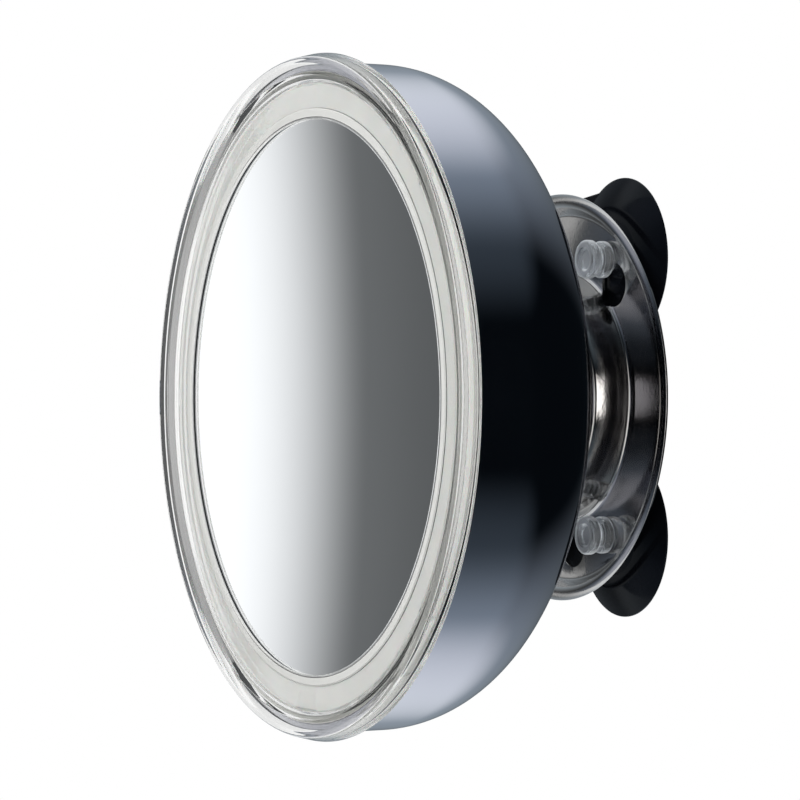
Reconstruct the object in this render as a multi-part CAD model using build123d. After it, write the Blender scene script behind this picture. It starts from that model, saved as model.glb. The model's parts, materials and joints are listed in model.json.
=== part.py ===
from build123d import *
import os
from math import acos, atan2, cos, degrees, hypot, radians, sin, sqrt, tan

# Lighted magnifying mirror on a wall plate with three suction cups. Millimetres.
# The mirror faces -Y, the wall is at +Y and +Z is up. The origin is the middle of the plane
# that the lips of the suction cups lie in. Depths are measured back towards the wall from the
# lip round the mirror glass, and angles run from +X towards +Z about the mirror's axis.

# Whole object
ring_r = 100.0            # outside of the clear ring
lip_to_wall = 94.2        # from the lip round the glass to the wall
pivot_to_wall = 14.2      # from the middle of the ball joint to the wall
cut_over = 2.0            # how far every cut runs past what it cuts
hair = 0.05               # gap between pieces that are pressed or screwed together
slip = 0.2                # gap between pieces that slide or drop into each other

# Clear ring round the mirror
ring_back = 2.5
ring_overhang = 2.6       # how far it stands out past the shell
lip_t = 0.8
lip_lap = 2.3             # how far the lip laps over the glass
lip_past_glass = 0.9      # from the edge of the glass out to where the lip meets the wide band
band_inset = 8.8          # from the outside of the ring in to the outer edge of the wide band
band_rise = 0.7
step_inset = 6.4
step_rise = 2.2
crest_inset = 3.1
crest_rise = 3.0
brow_inset = 1.3
brow_rise = 2.7
brow_round = 0.9
ring_wall = 2.1           # thickness of the wide band
skirt_t = 1.8
skirt_back = 7.0
snap_width = 14.0         # tongues that snap behind the shell's rim at top and bottom
snap_back = 12.0
snap_t = 1.2
snap_nose = 0.7           # how far their hooks stand out into the shell's wall
snap_nose_long = 1.6

# Mirror glass, concave to magnify
glass_inset = 17.0        # from the outside of the ring in to the edge of the glass
glass_r = ring_r - glass_inset
glass_t = 3.0
glass_front = 1.3         # depth of the edge of its front face
mirror_radius = 620.0     # radius of the spherical face
bowl_deep = mirror_radius - sqrt(mirror_radius**2 - glass_r**2)
gasket_t = 0.4
gasket_lap = 1.9          # how far the gasket laps over the edge of the glass
foam_inset = 0.4          # foam ring behind the glass
foam_wide = 3.0

# Rear shell: a cylinder, a rounded shoulder and a shallow crown
shell_r = ring_r - ring_overhang
shell_front = ring_back + hair
band_end = 19.55          # depth where the cylinder ends and the shoulder starts
shoulder_r = 32.45
shell_depth = 69.5        # depth of the crown on the axis
shell_wall = 2.0
post_r = 3.5              # posts that carry the tray
post_circle_r = 60.0
post_count = 4
boss_pad_t = 5.5          # from the crown in to the flat pad for the pivot plate
boss_pad_margin = 1.0
land_margin = 0.5         # flat land outside the crown, round the neck collar

# Clear ring, continued: what follows from the glass and the shell
lip_r = glass_r - lip_lap
lip_end_r = glass_r + lip_past_glass
band_r = ring_r - band_inset
step_r = ring_r - step_inset
crest_r = ring_r - crest_inset
brow_r = ring_r - brow_inset
skirt_r = shell_r - shell_wall - slip
skirt_in_r = skirt_r - skirt_t

# Tray that carries the glass and the lamp board
diffuser_t = 1.2
diffuser_face = ring_wall - band_rise + slip
foam_out_r = glass_r - foam_inset
foam_in_r = foam_out_r - foam_wide
tray_wall_in_r = glass_r + gasket_t + slip + 2 * hair
tray_wall_t = 1.6
tray_wall_front = diffuser_face + diffuser_t + 2 * hair
tray_shelf = 6.2          # depth of the shelf under the foam ring
tray_t = 1.8
tray_flange_r = skirt_in_r - 2 * slip
tray_shelf_wide = 0.6     # from the foam ring to the top of the slope
tray_slope_r = foam_in_r - tray_shelf_wide
tray_slope_wide = 7.5
tray_floor_r = tray_slope_r - tray_slope_wide
floor_gap = 1.3           # behind the middle of the glass
tray_floor = glass_front + bowl_deep + glass_t + floor_gap + tray_t
lead_hole_r = 1.6

# White diffuser ring under the clear band
diffuser_gap = 0.5        # from its edge to the clear skirt
diffuser_edge_r = skirt_in_r - diffuser_gap
diffuser_edge_depth = 3.4
diffuser_leg_t = 1.0
diffuser_leg_in_r = tray_wall_in_r + tray_wall_t + slip
notch_wide = 14.0         # the two long notches in its edge, at top and bottom
notch_deep = 2.2
thumb_notch_r = 3.6       # the two half round notches, at the sides
small_notch_r = 1.6
small_notch_angles = (40, 140, 220, 320)

# Lamp board
board_front = 6.0
board_t = 1.2
board_in_r = diffuser_leg_in_r + hair
board_out_r = tray_flange_r - slip
lamp_count = 10
lamp_size = 5.0
lamp_t = 1.6
lamp_r = (diffuser_leg_in_r + diffuser_edge_r) / 2
lamp_window_r = 1.9
lamp_window_deep = 0.3
resistor_long = 3.2
resistor_wide = 1.6
resistor_t = 0.6

# Screws
screw_r = 1.45
screw_head_r = 2.9
screw_head_t = 1.8
screw_round = 0.5
tray_screw_grip = 9.0     # thread length in the post
pivot_screw_grip = 3.0

# Pivot: ball stud, nylon liner and socket
ball_r = 8.0
neck_r = 3.5
flange_wide = 2.0
flange_t = 0.8
collar_wide = 5.5
collar_t = 1.2
ball_play = 0.15
liner_t = 1.2
liner_mouth_deg = 42      # half angle of the liner's front opening
liner_short = 0.4         # how far the liner's rear edge stops short of the ball's back
liner_slit = 1.0
nose_in = 0.7             # from the socket's radius in to the outside of the nose
nose_short = 1.6          # how far the nose stops short of the ball's front
socket_ledge = 0.9        # ledge under the rear seat
housing_wall = 2.0
housing_flange_wide = 4.6
housing_flange_t = 2.0
seat_drop = 3.7           # how far the ledge stops short of the ball's back
seat_t = 2.6
washer_t = 1.0
washer_inset = 1.4        # from the ball's radius in to the washer's bore
cap_thread = 1.4
cap_lip_t = 1.6
cap_well_inset = 2.4
cap_well = 1.5
cap_slot = 1.6
pivot_plate_r = 22.0
pivot_plate_t = 2.0
pivot_circle_r = 16.0
pivot_count = 3
spin_washer_wide = 2.9
spin_washer_t = 0.8
nut_wall = 2.0
nut_t = 4.0
stud_over = 1.6           # how far the stud stands out of its nut
flange_r = neck_r + flange_wide
collar_r = neck_r + collar_wide
pad_depth = shell_depth - boss_pad_t
pad_r = pivot_plate_r + boss_pad_margin
crown_land_r = collar_r + land_margin
stud_end_depth = pad_depth - pivot_plate_t - spin_washer_t - nut_t - stud_over - 2 * hair
socket_r = ball_r + liner_t + 2 * ball_play
housing_nose_r = socket_r - nose_in
housing_nose = ball_r - nose_short
housing_bore_r = socket_r + socket_ledge
housing_r = housing_bore_r + housing_wall
housing_flange_r = housing_r + housing_flange_wide
housing_step = ball_r - seat_drop
housing_back = housing_step + seat_t + washer_t + cap_thread + 2 * hair

# Wall plate: one stamped disc with a raised hub, a channel and a rim
sheet_t = 1.2
plate_r = 61.8
rim_wide = 3.8
rim_to_wall = 9.25        # from the middle of the sheet at the rim to the wall
slope_wide = 2.6          # from the rim to the outside of the channel
channel_in_r = 36.8
channel_to_wall = 5.3
hub_slope_wide = 2.2
hub_flat_wide = 3.0       # flat of the hub past the socket's flange
hub_in_ball = 2.6         # from the ball's front back to the middle of the hub's sheet
hub_crown = 2.0           # how much further forward the hub's middle is than its edge
hub_bend = 3.0
channel_in_bend = 1.6
channel_out_bend = 2.2
rim_bend = 1.6
rivet_r = 1.6
rivet_head_r = 2.6
rivet_head_t = 0.7
rivet_tail_r = 2.0
rivet_count = 3
rim_in_r = plate_r - rim_wide
rim_depth = lip_to_wall - rim_to_wall
channel_out_r = rim_in_r - slope_wide
channel_depth = lip_to_wall - channel_to_wall
hub_r = channel_in_r - hub_slope_wide
hub_depth = lip_to_wall - pivot_to_wall - ball_r + hub_in_ball
hub_edge_depth = hub_depth + hub_crown
hub_flat_r = housing_flange_r + hub_flat_wide
hub_hole_r = housing_nose_r + slip
rivet_circle_r = housing_r + rivet_tail_r + slip

# Suction cups and the clear plugs that button them into the plate's keyholes
cup_r = 24.5
cup_inset = 8.2           # from the outside of the channel in to the middles of the cups
cup_circle_r = channel_out_r - cup_inset
cup_lip_t = 0.6
cup_lip_wide = 1.8
cup_boss_r = 8.5
cup_shoulder_r = 12.0
cup_shoulder_drop = 0.9
cup_hollow_r = 8.0
cup_hollow = 1.8
cup_bulge = 0.5
cup_tab_inset = 2.5       # from the rim in to the circle that the pull tab's sides touch
cup_tab_long = 7.5        # from the rim out to the middle of the tab's round tip
cup_tab_tip_r = 3.0
cup_tab_t = 0.8
plug_head_r = 5.75
plug_head_t = 3.0
plug_disc_r = 5.5
plug_disc_t = 2.8
plug_groove_r = 3.8
plug_groove = 1.9
plug_neck_r = 3.2
plug_root = 2.2           # how far the neck goes into the cup's boss
plug_well_r = 3.0
plug_well = 1.4
plug_round = 0.8
plate_gap = 0.4           # from the plug's second disc to the plate
key_hole_gap = 0.75       # round the plug's head in the wide end of a keyhole
key_slot_gap = 0.25       # round its neck in the narrow end
key_hole_r = plug_head_r + key_hole_gap
key_slot_r = plug_neck_r + key_slot_gap
# For each cup: its angle round the plate, where its pull tab points, and the step in X and Z
# from the narrow end of its keyhole, where the plug sits, to the wide end.
cups = {
    "upper": (60, 150, (3.9, -7.6)),
    "lower": (-60, -165, (-19.5, -4.0)),
    "side": (180, 180, (2.0, -11.0)),
}

# Battery box, cells and door
cell_r = 7.25
cell_body = 49.5
cell_nub_r = 2.75
cell_nub = 1.0
cell_gap = 0.5            # between the cells
cell_rest = 0.55          # between the first cells and the box's floor
box_wall = 1.4
box_top = -49.0           # height of the inside of its top wall
plate_t = 0.4
spring_r = 4.0
spring_wall = 0.8
spring_long = 4.5
contact_margin = 1.5      # of the spring plates round the springs
opening_inset = 1.0       # how far the shell's opening stops short of the box's walls
door_gap = 0.25
barrel_r = 1.7
barrel_half = 12.7
hinge_pin_r = 0.8
hinge_pin_half = 15.2
ear_t = 3.7
ear_back = 3.7            # how far the ears reach below the pin
ear_gap = 1.0
cell_pitch = 2 * cell_r + cell_gap
contact_half = spring_r + contact_margin
box_long = cell_body + cell_nub + spring_long + 2 * plate_t + 4 * hair
box_high = 2 * cell_pitch + 2 * slip
box_floor = tray_floor + slip + 2 * hair
cell_first_depth = box_floor + box_wall + cell_rest + cell_r

# Power button and switch on the shell's left side
button_r = 4.4
button_depth = 20.5
button_out = 1.5          # how far the button stands out of the shell
button_flange_wide = 1.2
button_flange_t = 1.2
button_flange_in = 1.2    # from the shell's inside to the flange
button_stem_r = 2.0
button_round = 0.6
boss_wall = 3.5
boss_long = 6.9
switch_board_t = 1.4
switch_board_wide = 13.0
switch_size = 6.0
switch_t = 2.7
plunger_r = 1.55
plunger_out = 1.4
plunger_in = 0.9
plunger_bore_deep = 2.4
small_screw_r = 0.85
small_screw_head_r = 1.7
small_screw_head_t = 1.2
small_screw_grip = 4.0
button_flange_r = button_r + button_flange_wide
boss_bore_r = button_flange_r + 2 * slip
boss_r = boss_bore_r + boss_wall

# Leads between the battery box, the switch and the lamp board
lead_r = 0.8
lead_bend = 4.0
lead_step = 2.4           # from the middle of the switch board to each lead's joint
lead_pass = 1.8           # from the edge of the switch board to the lamp lead that goes round it
run_share = 0.45          # most of a run that the arc at its end takes

nodes = {}


def at(depth):
    """Y of a depth behind the lip."""
    return depth - lip_to_wall


def keep(name, *pieces):
    """Give a node its solids."""
    nodes[name] = [solid for piece in pieces for solid in piece.solids()]


def spun(points, rounds=0):
    """Turn an outline of (radius, depth) points about the mirror's axis."""
    places = [(radius, at(depth)) for radius, depth in points]
    return revolve(make_face(FilletPolyline(*places, radius=rounds, close=True)), Axis.Y)


def rod(radius, near, far):
    """Round bar along the mirror's axis between two depths."""
    return Pos(0, at(near), 0) * Rot(-90, 0, 0) * Cylinder(
        radius, far - near, align=(Align.CENTER, Align.CENTER, Align.MIN)
    )


def cross_rod(radius, x_from, x_to, depth, z=0):
    """Round bar along X."""
    return Pos(x_from, at(depth), z) * Rot(0, 90, 0) * Cylinder(
        radius, x_to - x_from, align=(Align.CENTER, Align.CENTER, Align.MIN)
    )


def block(x, depth, z):
    """Box between two X, two depths and two Z."""
    return Pos(x[0], at(depth[0]), z[0]) * Box(
        x[1] - x[0], depth[1] - depth[0], z[1] - z[0], align=(Align.MIN, Align.MIN, Align.MIN)
    )


def placed(angle, radius=0):
    """Turn +X to an angle round the mirror's axis and step out along it."""
    return Rot(0, -angle, 0) * Pos(radius, 0, 0)


def spread(count, radius, start=0):
    """Equally spaced places round the axis."""
    return [placed(start + step * 360 / count, radius) for step in range(count)]


def joined(pieces):
    """Fuse a list of solids."""
    first, *rest = pieces
    for piece in rest:
        first = first + piece
    return first


# The crown's arc is tangent to the shoulder's arc and square to the axis
shoulder_in = shell_r - shoulder_r
crown_drop = shell_depth - band_end
crown_r = (shoulder_in**2 + crown_drop**2 - shoulder_r**2) / (2 * (crown_drop - shoulder_r))
crown_centre = shell_depth - crown_r
arc_span = hypot(shoulder_in, band_end - crown_centre)
join_sin = shoulder_in / arc_span
join_cos = (band_end - crown_centre) / arc_span


def dome(inset, front):
    """Solid inside the shell's outer face, that much smaller all round, from a depth back."""
    small, large = shoulder_r - inset, crown_r - inset
    edge_r = shoulder_in + small

    def shoulder(turn_sin, turn_cos):
        return (shoulder_in + small * turn_sin, at(band_end + small * turn_cos))

    half_sin, half_cos = (1 + join_sin) / 2, join_cos / 2
    half = hypot(half_sin, half_cos)
    mid_sin = join_sin / 2
    outline = Polyline((0, at(front)), (edge_r, at(front)), (edge_r, at(band_end)))
    outline += ThreePointArc(
        shoulder(1, 0), shoulder(half_sin / half, half_cos / half), shoulder(join_sin, join_cos)
    )
    outline += ThreePointArc(
        shoulder(join_sin, join_cos),
        (large * mid_sin, at(crown_centre + large * sqrt(1 - mid_sin**2))),
        (0, at(crown_centre + large)),
    )
    outline += Line((0, at(crown_centre + large)), (0, at(front)))
    return revolve(make_face(outline), Axis.Y)


def crown_depth(radius):
    """Depth of the crown's outer face at a radius."""
    return crown_centre + sqrt(crown_r**2 - radius**2)


def bowl(radius):
    """How much deeper the mirror's middle is than its face at a radius."""
    return mirror_radius - sqrt(mirror_radius**2 - radius**2)


# Light ring and diffuser

def light_ring():
    """Clear acrylic ring: lip, wide band, crest, outer wall, skirt and two snap tongues."""
    band_back = ring_wall - band_rise
    gasket_r = glass_r + gasket_t + slip
    ring = spun(
        [
            (lip_r, 0),
            (lip_end_r, 0),
            (band_r, -band_rise),
            (step_r, -step_rise),
            (crest_r, -crest_rise),
            (brow_r, -brow_rise),
            (ring_r, ring_back),
            (skirt_r, ring_back),
            (skirt_r, skirt_back),
            (skirt_in_r, skirt_back),
            (skirt_in_r, band_back),
            (gasket_r, band_back),
            (gasket_r, lip_t),
            (lip_r, lip_t),
        ],
        [0, 0, 0, 0, 0, brow_round, 0, 0, 0, 0, 0, 0, 0, 0],
    )
    for angle in (90, 270):
        tongue = spun(
            [
                (skirt_r - snap_t, skirt_back - hair),
                (skirt_r, skirt_back - hair),
                (skirt_r, snap_back - snap_nose_long),
                (skirt_r + snap_nose, snap_back - snap_nose_long),
                (skirt_r, snap_back),
                (skirt_r - snap_t, snap_back),
            ]
        )
        sector = block((lip_r, ring_r), (0, snap_back), (-snap_width / 2, snap_width / 2))
        ring += placed(angle) * sector & tongue
    keep("light_ring", ring)


def diffuser_ring():
    """White ring under the clear band, standing on the lamp board on two legs."""
    face = diffuser_face
    under = face + diffuser_t
    leg_r = diffuser_edge_r - diffuser_leg_t
    ring = spun(
        [
            (tray_wall_in_r + 2 * slip, face),
            (band_r, face),
            (diffuser_edge_r, diffuser_edge_depth),
            (diffuser_edge_r, board_front),
            (leg_r, board_front),
            (leg_r, diffuser_edge_depth + 2 * slip),
            (band_r - 2 * slip, under),
            (diffuser_leg_in_r + diffuser_leg_t, under),
            (diffuser_leg_in_r + diffuser_leg_t, board_front),
            (diffuser_leg_in_r, board_front),
            (diffuser_leg_in_r, under),
            (tray_wall_in_r + 2 * slip, under),
        ]
    )
    for angle in (90, 270):
        ring -= placed(angle) * block(
            (diffuser_edge_r - notch_deep, diffuser_edge_r + cut_over),
            (face - cut_over, diffuser_edge_depth),
            (-notch_wide / 2, notch_wide / 2),
        )
    notches = [(angle, thumb_notch_r) for angle in (0, 180)]
    notches += [(angle, small_notch_r) for angle in small_notch_angles]
    for angle, radius in notches:
        ring -= placed(angle, diffuser_edge_r) * rod(radius, face - cut_over, diffuser_edge_depth)
    keep("diffuser_ring", ring)


# Mirror glass and what holds it

def glass_back(radius):
    """Depth of the back of the glass at a radius."""
    return glass_front + bowl_deep - bowl(radius) + glass_t


def mirror_glass():
    """Meniscus of even thickness with a spherical front."""
    front, back = glass_front + bowl_deep, glass_back(0)
    half = glass_r / 2
    outline = Line((0, at(front)), (0, at(back)))
    outline += ThreePointArc(
        (0, at(back)), (half, at(back - bowl(half))), (glass_r, at(glass_back(glass_r)))
    )
    outline += Line((glass_r, at(glass_back(glass_r))), (glass_r, at(glass_front)))
    outline += ThreePointArc(
        (glass_r, at(glass_front)), (half, at(front - bowl(half))), (0, at(front))
    )
    keep("mirror_glass", revolve(make_face(outline), Axis.Y))


def mirror_gasket():
    """Thin black angle ring between the clear lip and the edge of the glass."""
    inner, outer = glass_r + hair, glass_r + gasket_t + hair
    keep(
        "mirror_gasket",
        spun(
            [
                (glass_r - gasket_lap, lip_t + hair),
                (outer, lip_t + hair),
                (outer, glass_back(glass_r)),
                (inner, glass_back(glass_r)),
                (inner, glass_front),
                (glass_r - gasket_lap, glass_front),
            ]
        ),
    )


def mirror_pad():
    """Foam ring between the back of the glass and the tray's shelf."""
    front = glass_back(foam_in_r)
    keep(
        "mirror_pad",
        spun([(foam_in_r, front), (foam_out_r, front), (foam_out_r, tray_shelf), (foam_in_r, tray_shelf)]),
    )


def mirror_tray():
    """Dished plastic tray with a wall round the glass and a flange for the lamp board."""
    wall_out = tray_wall_in_r + tray_wall_t
    flange = board_front + board_t
    under = flange + tray_t
    inner_floor = tray_floor - tray_t
    tray = spun(
        [
            (tray_wall_in_r, tray_wall_front),
            (wall_out, tray_wall_front),
            (wall_out, flange),
            (tray_flange_r, flange),
            (tray_flange_r, under),
            (tray_slope_r, under),
            (tray_floor_r, tray_floor),
            (0, tray_floor),
            (0, inner_floor),
            (tray_floor_r - slip, inner_floor),
            (foam_in_r, tray_shelf),
            (tray_wall_in_r, tray_shelf),
        ]
    )
    for place in spread(post_count, post_circle_r, 45):
        tray -= place * rod(screw_r + slip, inner_floor - cut_over, tray_floor + cut_over)
    tray -= lamp_lead_place * rod(lead_hole_r, flange - cut_over, under + cut_over)
    keep("mirror_tray", tray)


def screw_head(seat):
    """Pan head of a screw that bears on a face at a depth."""
    front = seat - screw_head_t
    return spun(
        [(0, front), (screw_head_r, front), (screw_head_r, seat), (0, seat)], [0, screw_round, 0, 0]
    )


def tray_screws():
    """Screws through the tray's floor into the shell's posts."""
    seat = tray_floor - tray_t
    screw = rod(screw_r, seat, tray_floor + tray_screw_grip)
    screw += screw_head(seat)
    keep("tray_screws", *[place * screw for place in spread(post_count, post_circle_r, 45)])


# Lamp board

lamp_lead_place = placed(174, lamp_r)


def led_board():
    """Ring shaped circuit board on the tray's flange."""
    board = rod(board_out_r, board_front, board_front + board_t)
    board -= rod(board_in_r, board_front - cut_over, board_front + board_t + cut_over)
    keep("led_board", board)


def leds():
    """Square lamps that face the diffuser."""
    half = lamp_size / 2
    lamp = block((-half, half), (board_front - lamp_t, board_front), (-half, half))
    face = board_front - lamp_t
    lamp -= rod(lamp_window_r, face - cut_over, face + lamp_window_deep)
    keep("leds", *[place * lamp for place in spread(lamp_count, lamp_r)])


def resistors():
    """One small resistor between each pair of lamps."""
    wide, long = resistor_wide / 2, resistor_long / 2
    chip = block((-wide, wide), (board_front - resistor_t, board_front), (-long, long))
    half_step = 180 / lamp_count
    keep("resistors", *[place * chip for place in spread(lamp_count, lamp_r, half_step)])


# Rear shell

box_half = box_long / 2
box_bottom = box_top - box_high
opening_half = box_half - opening_inset
opening_top = box_top - opening_inset
opening_bottom = box_bottom + opening_inset
hinge_z = opening_top - slip - barrel_r
hinge_depth = crown_depth(hypot(barrel_half, hinge_z)) - barrel_r
ear_low = hinge_z - barrel_r - slip


def ears(gap):
    """Two blocks under the top edge of the battery opening that hold the hinge pin."""
    near = barrel_half + slip
    front = hinge_depth - ear_back + barrel_r
    pair = []
    for side in (-1, 1):
        x = sorted((side * (near - gap), side * (near + ear_t + gap)))
        pair.append(block(x, (front - gap, shell_depth), (ear_low - gap, box_top + box_wall + gap)))
    return joined(pair)


def rear_shell():
    """Spun bowl with posts, pivot pad, button boss and battery opening."""
    wall_mid = shell_wall / 2
    shell = dome(0, shell_front) - dome(shell_wall, shell_front - cut_over)
    inside = [rod(pad_r, pad_depth, shell_depth)]
    for place in spread(post_count, post_circle_r, 45):
        inside.append(place * rod(post_r, tray_floor, shell_depth))
    boss_end = shell_wall + boss_long - shell_r
    inside.append(cross_rod(boss_r, -shell_r, boss_end, button_depth))
    shell += joined(inside) & dome(wall_mid, 0)
    shell -= block(
        (-opening_half, opening_half),
        (cell_first_depth, shell_depth + cut_over),
        (opening_bottom, opening_top),
    )
    shell += ears(0) & dome(0, 0)
    pin_end = hinge_pin_half + slip
    shell -= cross_rod(hinge_pin_r + hair, -pin_end, pin_end, hinge_depth, hinge_z)
    shell -= spun(
        [
            (0, shell_depth + cut_over),
            (crown_land_r, shell_depth + cut_over),
            (crown_land_r, crown_depth(crown_land_r)),
            (0, crown_depth(crown_land_r)),
        ]
    )
    shell -= rod(neck_r + slip, pad_depth - cut_over, shell_depth + cut_over)
    for place in spread(post_count, post_circle_r, 45):
        shell -= place * rod(screw_r + hair, tray_floor - cut_over, tray_floor + tray_screw_grip + slip)
    for place in spread(pivot_count, pivot_circle_r, 90):
        shell -= place * rod(screw_r + hair, pad_depth - cut_over, pad_depth + pivot_screw_grip + slip)
    shell -= cross_rod(button_r + slip, -shell_r - cut_over, boss_end, button_depth)
    flange_space = shell_wall - shell_r
    bore = cross_rod(boss_bore_r, flange_space, boss_end + cut_over, button_depth)
    shell -= bore & dome(shell_wall, 0)
    for side in (-1, 1):
        shell -= cross_rod(
            small_screw_r + hair,
            boss_end - small_screw_grip - slip,
            boss_end + cut_over,
            button_depth,
            side * (boss_bore_r + boss_r) / 2,
        )
    for angle in (90, 270):
        shell -= placed(angle) * block(
            (skirt_r - slip, skirt_r + snap_nose + slip),
            (snap_back - snap_nose_long - slip, snap_back + slip),
            (-snap_width / 2 - slip, snap_width / 2 + slip),
        )
    keep("rear_shell", shell)


# Pivot

ball_depth = lip_to_wall - pivot_to_wall
liner_in_r = ball_r + ball_play
liner_out_r = liner_in_r + liner_t
collar_front = crown_depth(crown_land_r) + hair


def ball(radius):
    """Sphere round the middle of the pivot."""
    return Pos(0, at(ball_depth), 0) * Sphere(radius)


def ball_stud():
    """Steel ball on a neck with a flange, ending in a shank through the crown."""
    flange_front = collar_front + collar_t + hair
    stud = ball(ball_r) + rod(neck_r, stud_end_depth, ball_depth)
    stud += rod(flange_r, flange_front, flange_front + flange_t)
    keep("ball_stud", stud)


def neck_collar():
    """Nylon washer between the crown and the stud's flange."""
    collar = spun(
        [
            (neck_r + hair, collar_front),
            (collar_r, collar_front),
            (collar_r, collar_front + collar_t),
            (neck_r + hair, collar_front + collar_t),
        ],
        [0, 0, collar_t / 3, 0],
    )
    keep("neck_collar", collar)


def pivot_plate():
    """Steel disc that spreads the stud's load over the crown, with its three screws."""
    plate = rod(pivot_plate_r, pad_depth - pivot_plate_t, pad_depth)
    plate -= rod(neck_r + hair, 0, shell_depth)
    head = pad_depth - pivot_plate_t
    screw = rod(screw_r, head, pad_depth + pivot_screw_grip) + screw_head(head)
    places = spread(pivot_count, pivot_circle_r, 90)
    for place in places:
        plate -= place * rod(screw_r + slip, head - cut_over, pad_depth + cut_over)
    keep("pivot_plate", plate)
    keep("pivot_plate_screws", *[place * screw for place in places])


def stud_fasteners():
    """Friction washer and lock nut on the stud's shank."""
    washer_back = pad_depth - pivot_plate_t - hair
    washer_front = washer_back - spin_washer_t
    bore = rod(neck_r + hair, 0, shell_depth)
    keep("spin_washer", rod(neck_r + spin_washer_wide, washer_front, washer_back) - bore)
    hexagon = RegularPolygon(neck_r + nut_wall, 6, major_radius=False)
    nut = Pos(0, at(washer_front - nut_t - hair), 0) * Rot(-90, 0, 0) * extrude(hexagon, nut_t)
    keep("stud_nut", nut - bore)


def socket_liner():
    """Split nylon liner: the outside pans in the socket, the ball tilts inside it."""
    reach = liner_out_r + cut_over
    mouth_r = reach * tan(radians(liner_mouth_deg))
    mouth = spun([(0, ball_depth), (0, ball_depth - reach), (mouth_r, ball_depth - reach)])
    liner = ball(liner_out_r) - ball(liner_in_r) - mouth
    liner -= rod(liner_out_r, ball_depth + ball_r - liner_short, ball_depth + reach)
    liner -= block(
        (-reach, 0), (ball_depth - reach, ball_depth + reach), (-liner_slit / 2, liner_slit / 2)
    )
    keep("socket_liner", liner)


def socket_housing():
    """Steel cup riveted behind the hub; its nose fills the hub's hole and holds the liner in."""
    hub_back = hub_depth + sheet_t / 2 + hair
    nose = ball_depth - housing_nose
    back = ball_depth + housing_back
    housing = spun(
        [
            (0, nose),
            (housing_nose_r, nose),
            (housing_nose_r, hub_back),
            (housing_flange_r, hub_back),
            (housing_flange_r, hub_back + housing_flange_t),
            (housing_r, hub_back + housing_flange_t),
            (housing_r, back),
            (0, back),
        ]
    )
    housing -= ball(socket_r)
    housing -= rod(socket_r, ball_depth, ball_depth + housing_step + hair)
    housing -= rod(housing_bore_r, ball_depth + housing_step, back + cut_over)
    for place in spread(rivet_count, rivet_circle_r, 90):
        flange_back = hub_back + housing_flange_t
        housing -= place * rod(rivet_r + hair, hub_back - cut_over, flange_back + cut_over)
    keep("socket_housing", housing)


def socket_inside():
    """Rear seat, tension washer and screw cap that close the socket from behind."""
    seat_front = ball_depth + housing_step + hair
    seat_back = seat_front + seat_t
    seat = rod(housing_bore_r - hair, seat_front, seat_back) - ball(socket_r)
    keep("rear_seat", seat)
    washer = rod(housing_bore_r - hair, seat_back + hair, seat_back + washer_t + hair)
    washer -= rod(ball_r - washer_inset, seat_front, seat_back + washer_t + cut_over)
    keep("tension_washer", washer)
    cap_front = seat_back + washer_t + 2 * hair
    cap_step = ball_depth + housing_back + hair
    cap_back = cap_step + cap_lip_t
    cap = rod(housing_bore_r - hair, cap_front, cap_step) + rod(housing_r, cap_step, cap_back)
    cap -= rod(ball_r - cap_well_inset, cap_front - cut_over, cap_front + cap_well)
    cap -= block(
        (-housing_r, housing_r),
        (cap_back - cap_lip_t / 2, cap_back + cut_over),
        (-cap_slot / 2, cap_slot / 2),
    )
    keep("socket_cap", cap)


def socket_rivets():
    """Rivets through the hub and the socket's flange."""
    hub_front = hub_depth - sheet_t / 2
    tail = hub_depth + sheet_t / 2 + hair + housing_flange_t
    rivet = rod(rivet_r, hub_front, tail) + rod(rivet_head_r, hub_front - rivet_head_t, hub_front)
    rivet += rod(rivet_tail_r, tail, tail + rivet_head_t)
    keep("socket_rivets", *[place * rivet for place in spread(rivet_count, rivet_circle_r, 90)])


# Wall plate

def cup_centre(name):
    """X and Z of a cup's middle."""
    angle = radians(cups[name][0])
    return cup_circle_r * cos(angle), cup_circle_r * sin(angle)


def base_plate():
    """Stamped disc of one thickness with three keyholes."""
    path = FilletPolyline(
        (hub_hole_r, at(hub_depth)),
        (hub_flat_r, at(hub_depth)),
        (hub_r, at(hub_edge_depth)),
        (channel_in_r, at(channel_depth)),
        (channel_out_r, at(channel_depth)),
        (rim_in_r, at(rim_depth)),
        (plate_r, at(rim_depth)),
        radius=[0, hub_bend, channel_in_bend, channel_out_bend, rim_bend],
    )
    plate = revolve(trace(path, sheet_t), Axis.Y)
    near, far = channel_depth - cut_over, channel_depth + cut_over
    for name, (_, _, step) in cups.items():
        x, z = cup_centre(name)
        narrow = Pos(x, 0, z) * rod(key_slot_r, near, far)
        wide = Pos(x + step[0], 0, z + step[1]) * rod(key_hole_r, near, far)
        slot = SlotCenterToCenter(hypot(*step), 2 * key_slot_r)
        turn = -degrees(atan2(step[1], step[0]))
        band = Rot(-90, 0, 0) * extrude(slot, 2 * cut_over)
        band = Pos(x + step[0] / 2, at(near), z + step[1] / 2) * Rot(0, turn, 0) * band
        plate -= joined([narrow, wide, band])
    for place in spread(rivet_count, rivet_circle_r, 90):
        plate -= place * rod(rivet_r + hair, hub_depth - cut_over, hub_depth + cut_over)
    keep("base_plate", plate)


# Suction cups

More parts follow.
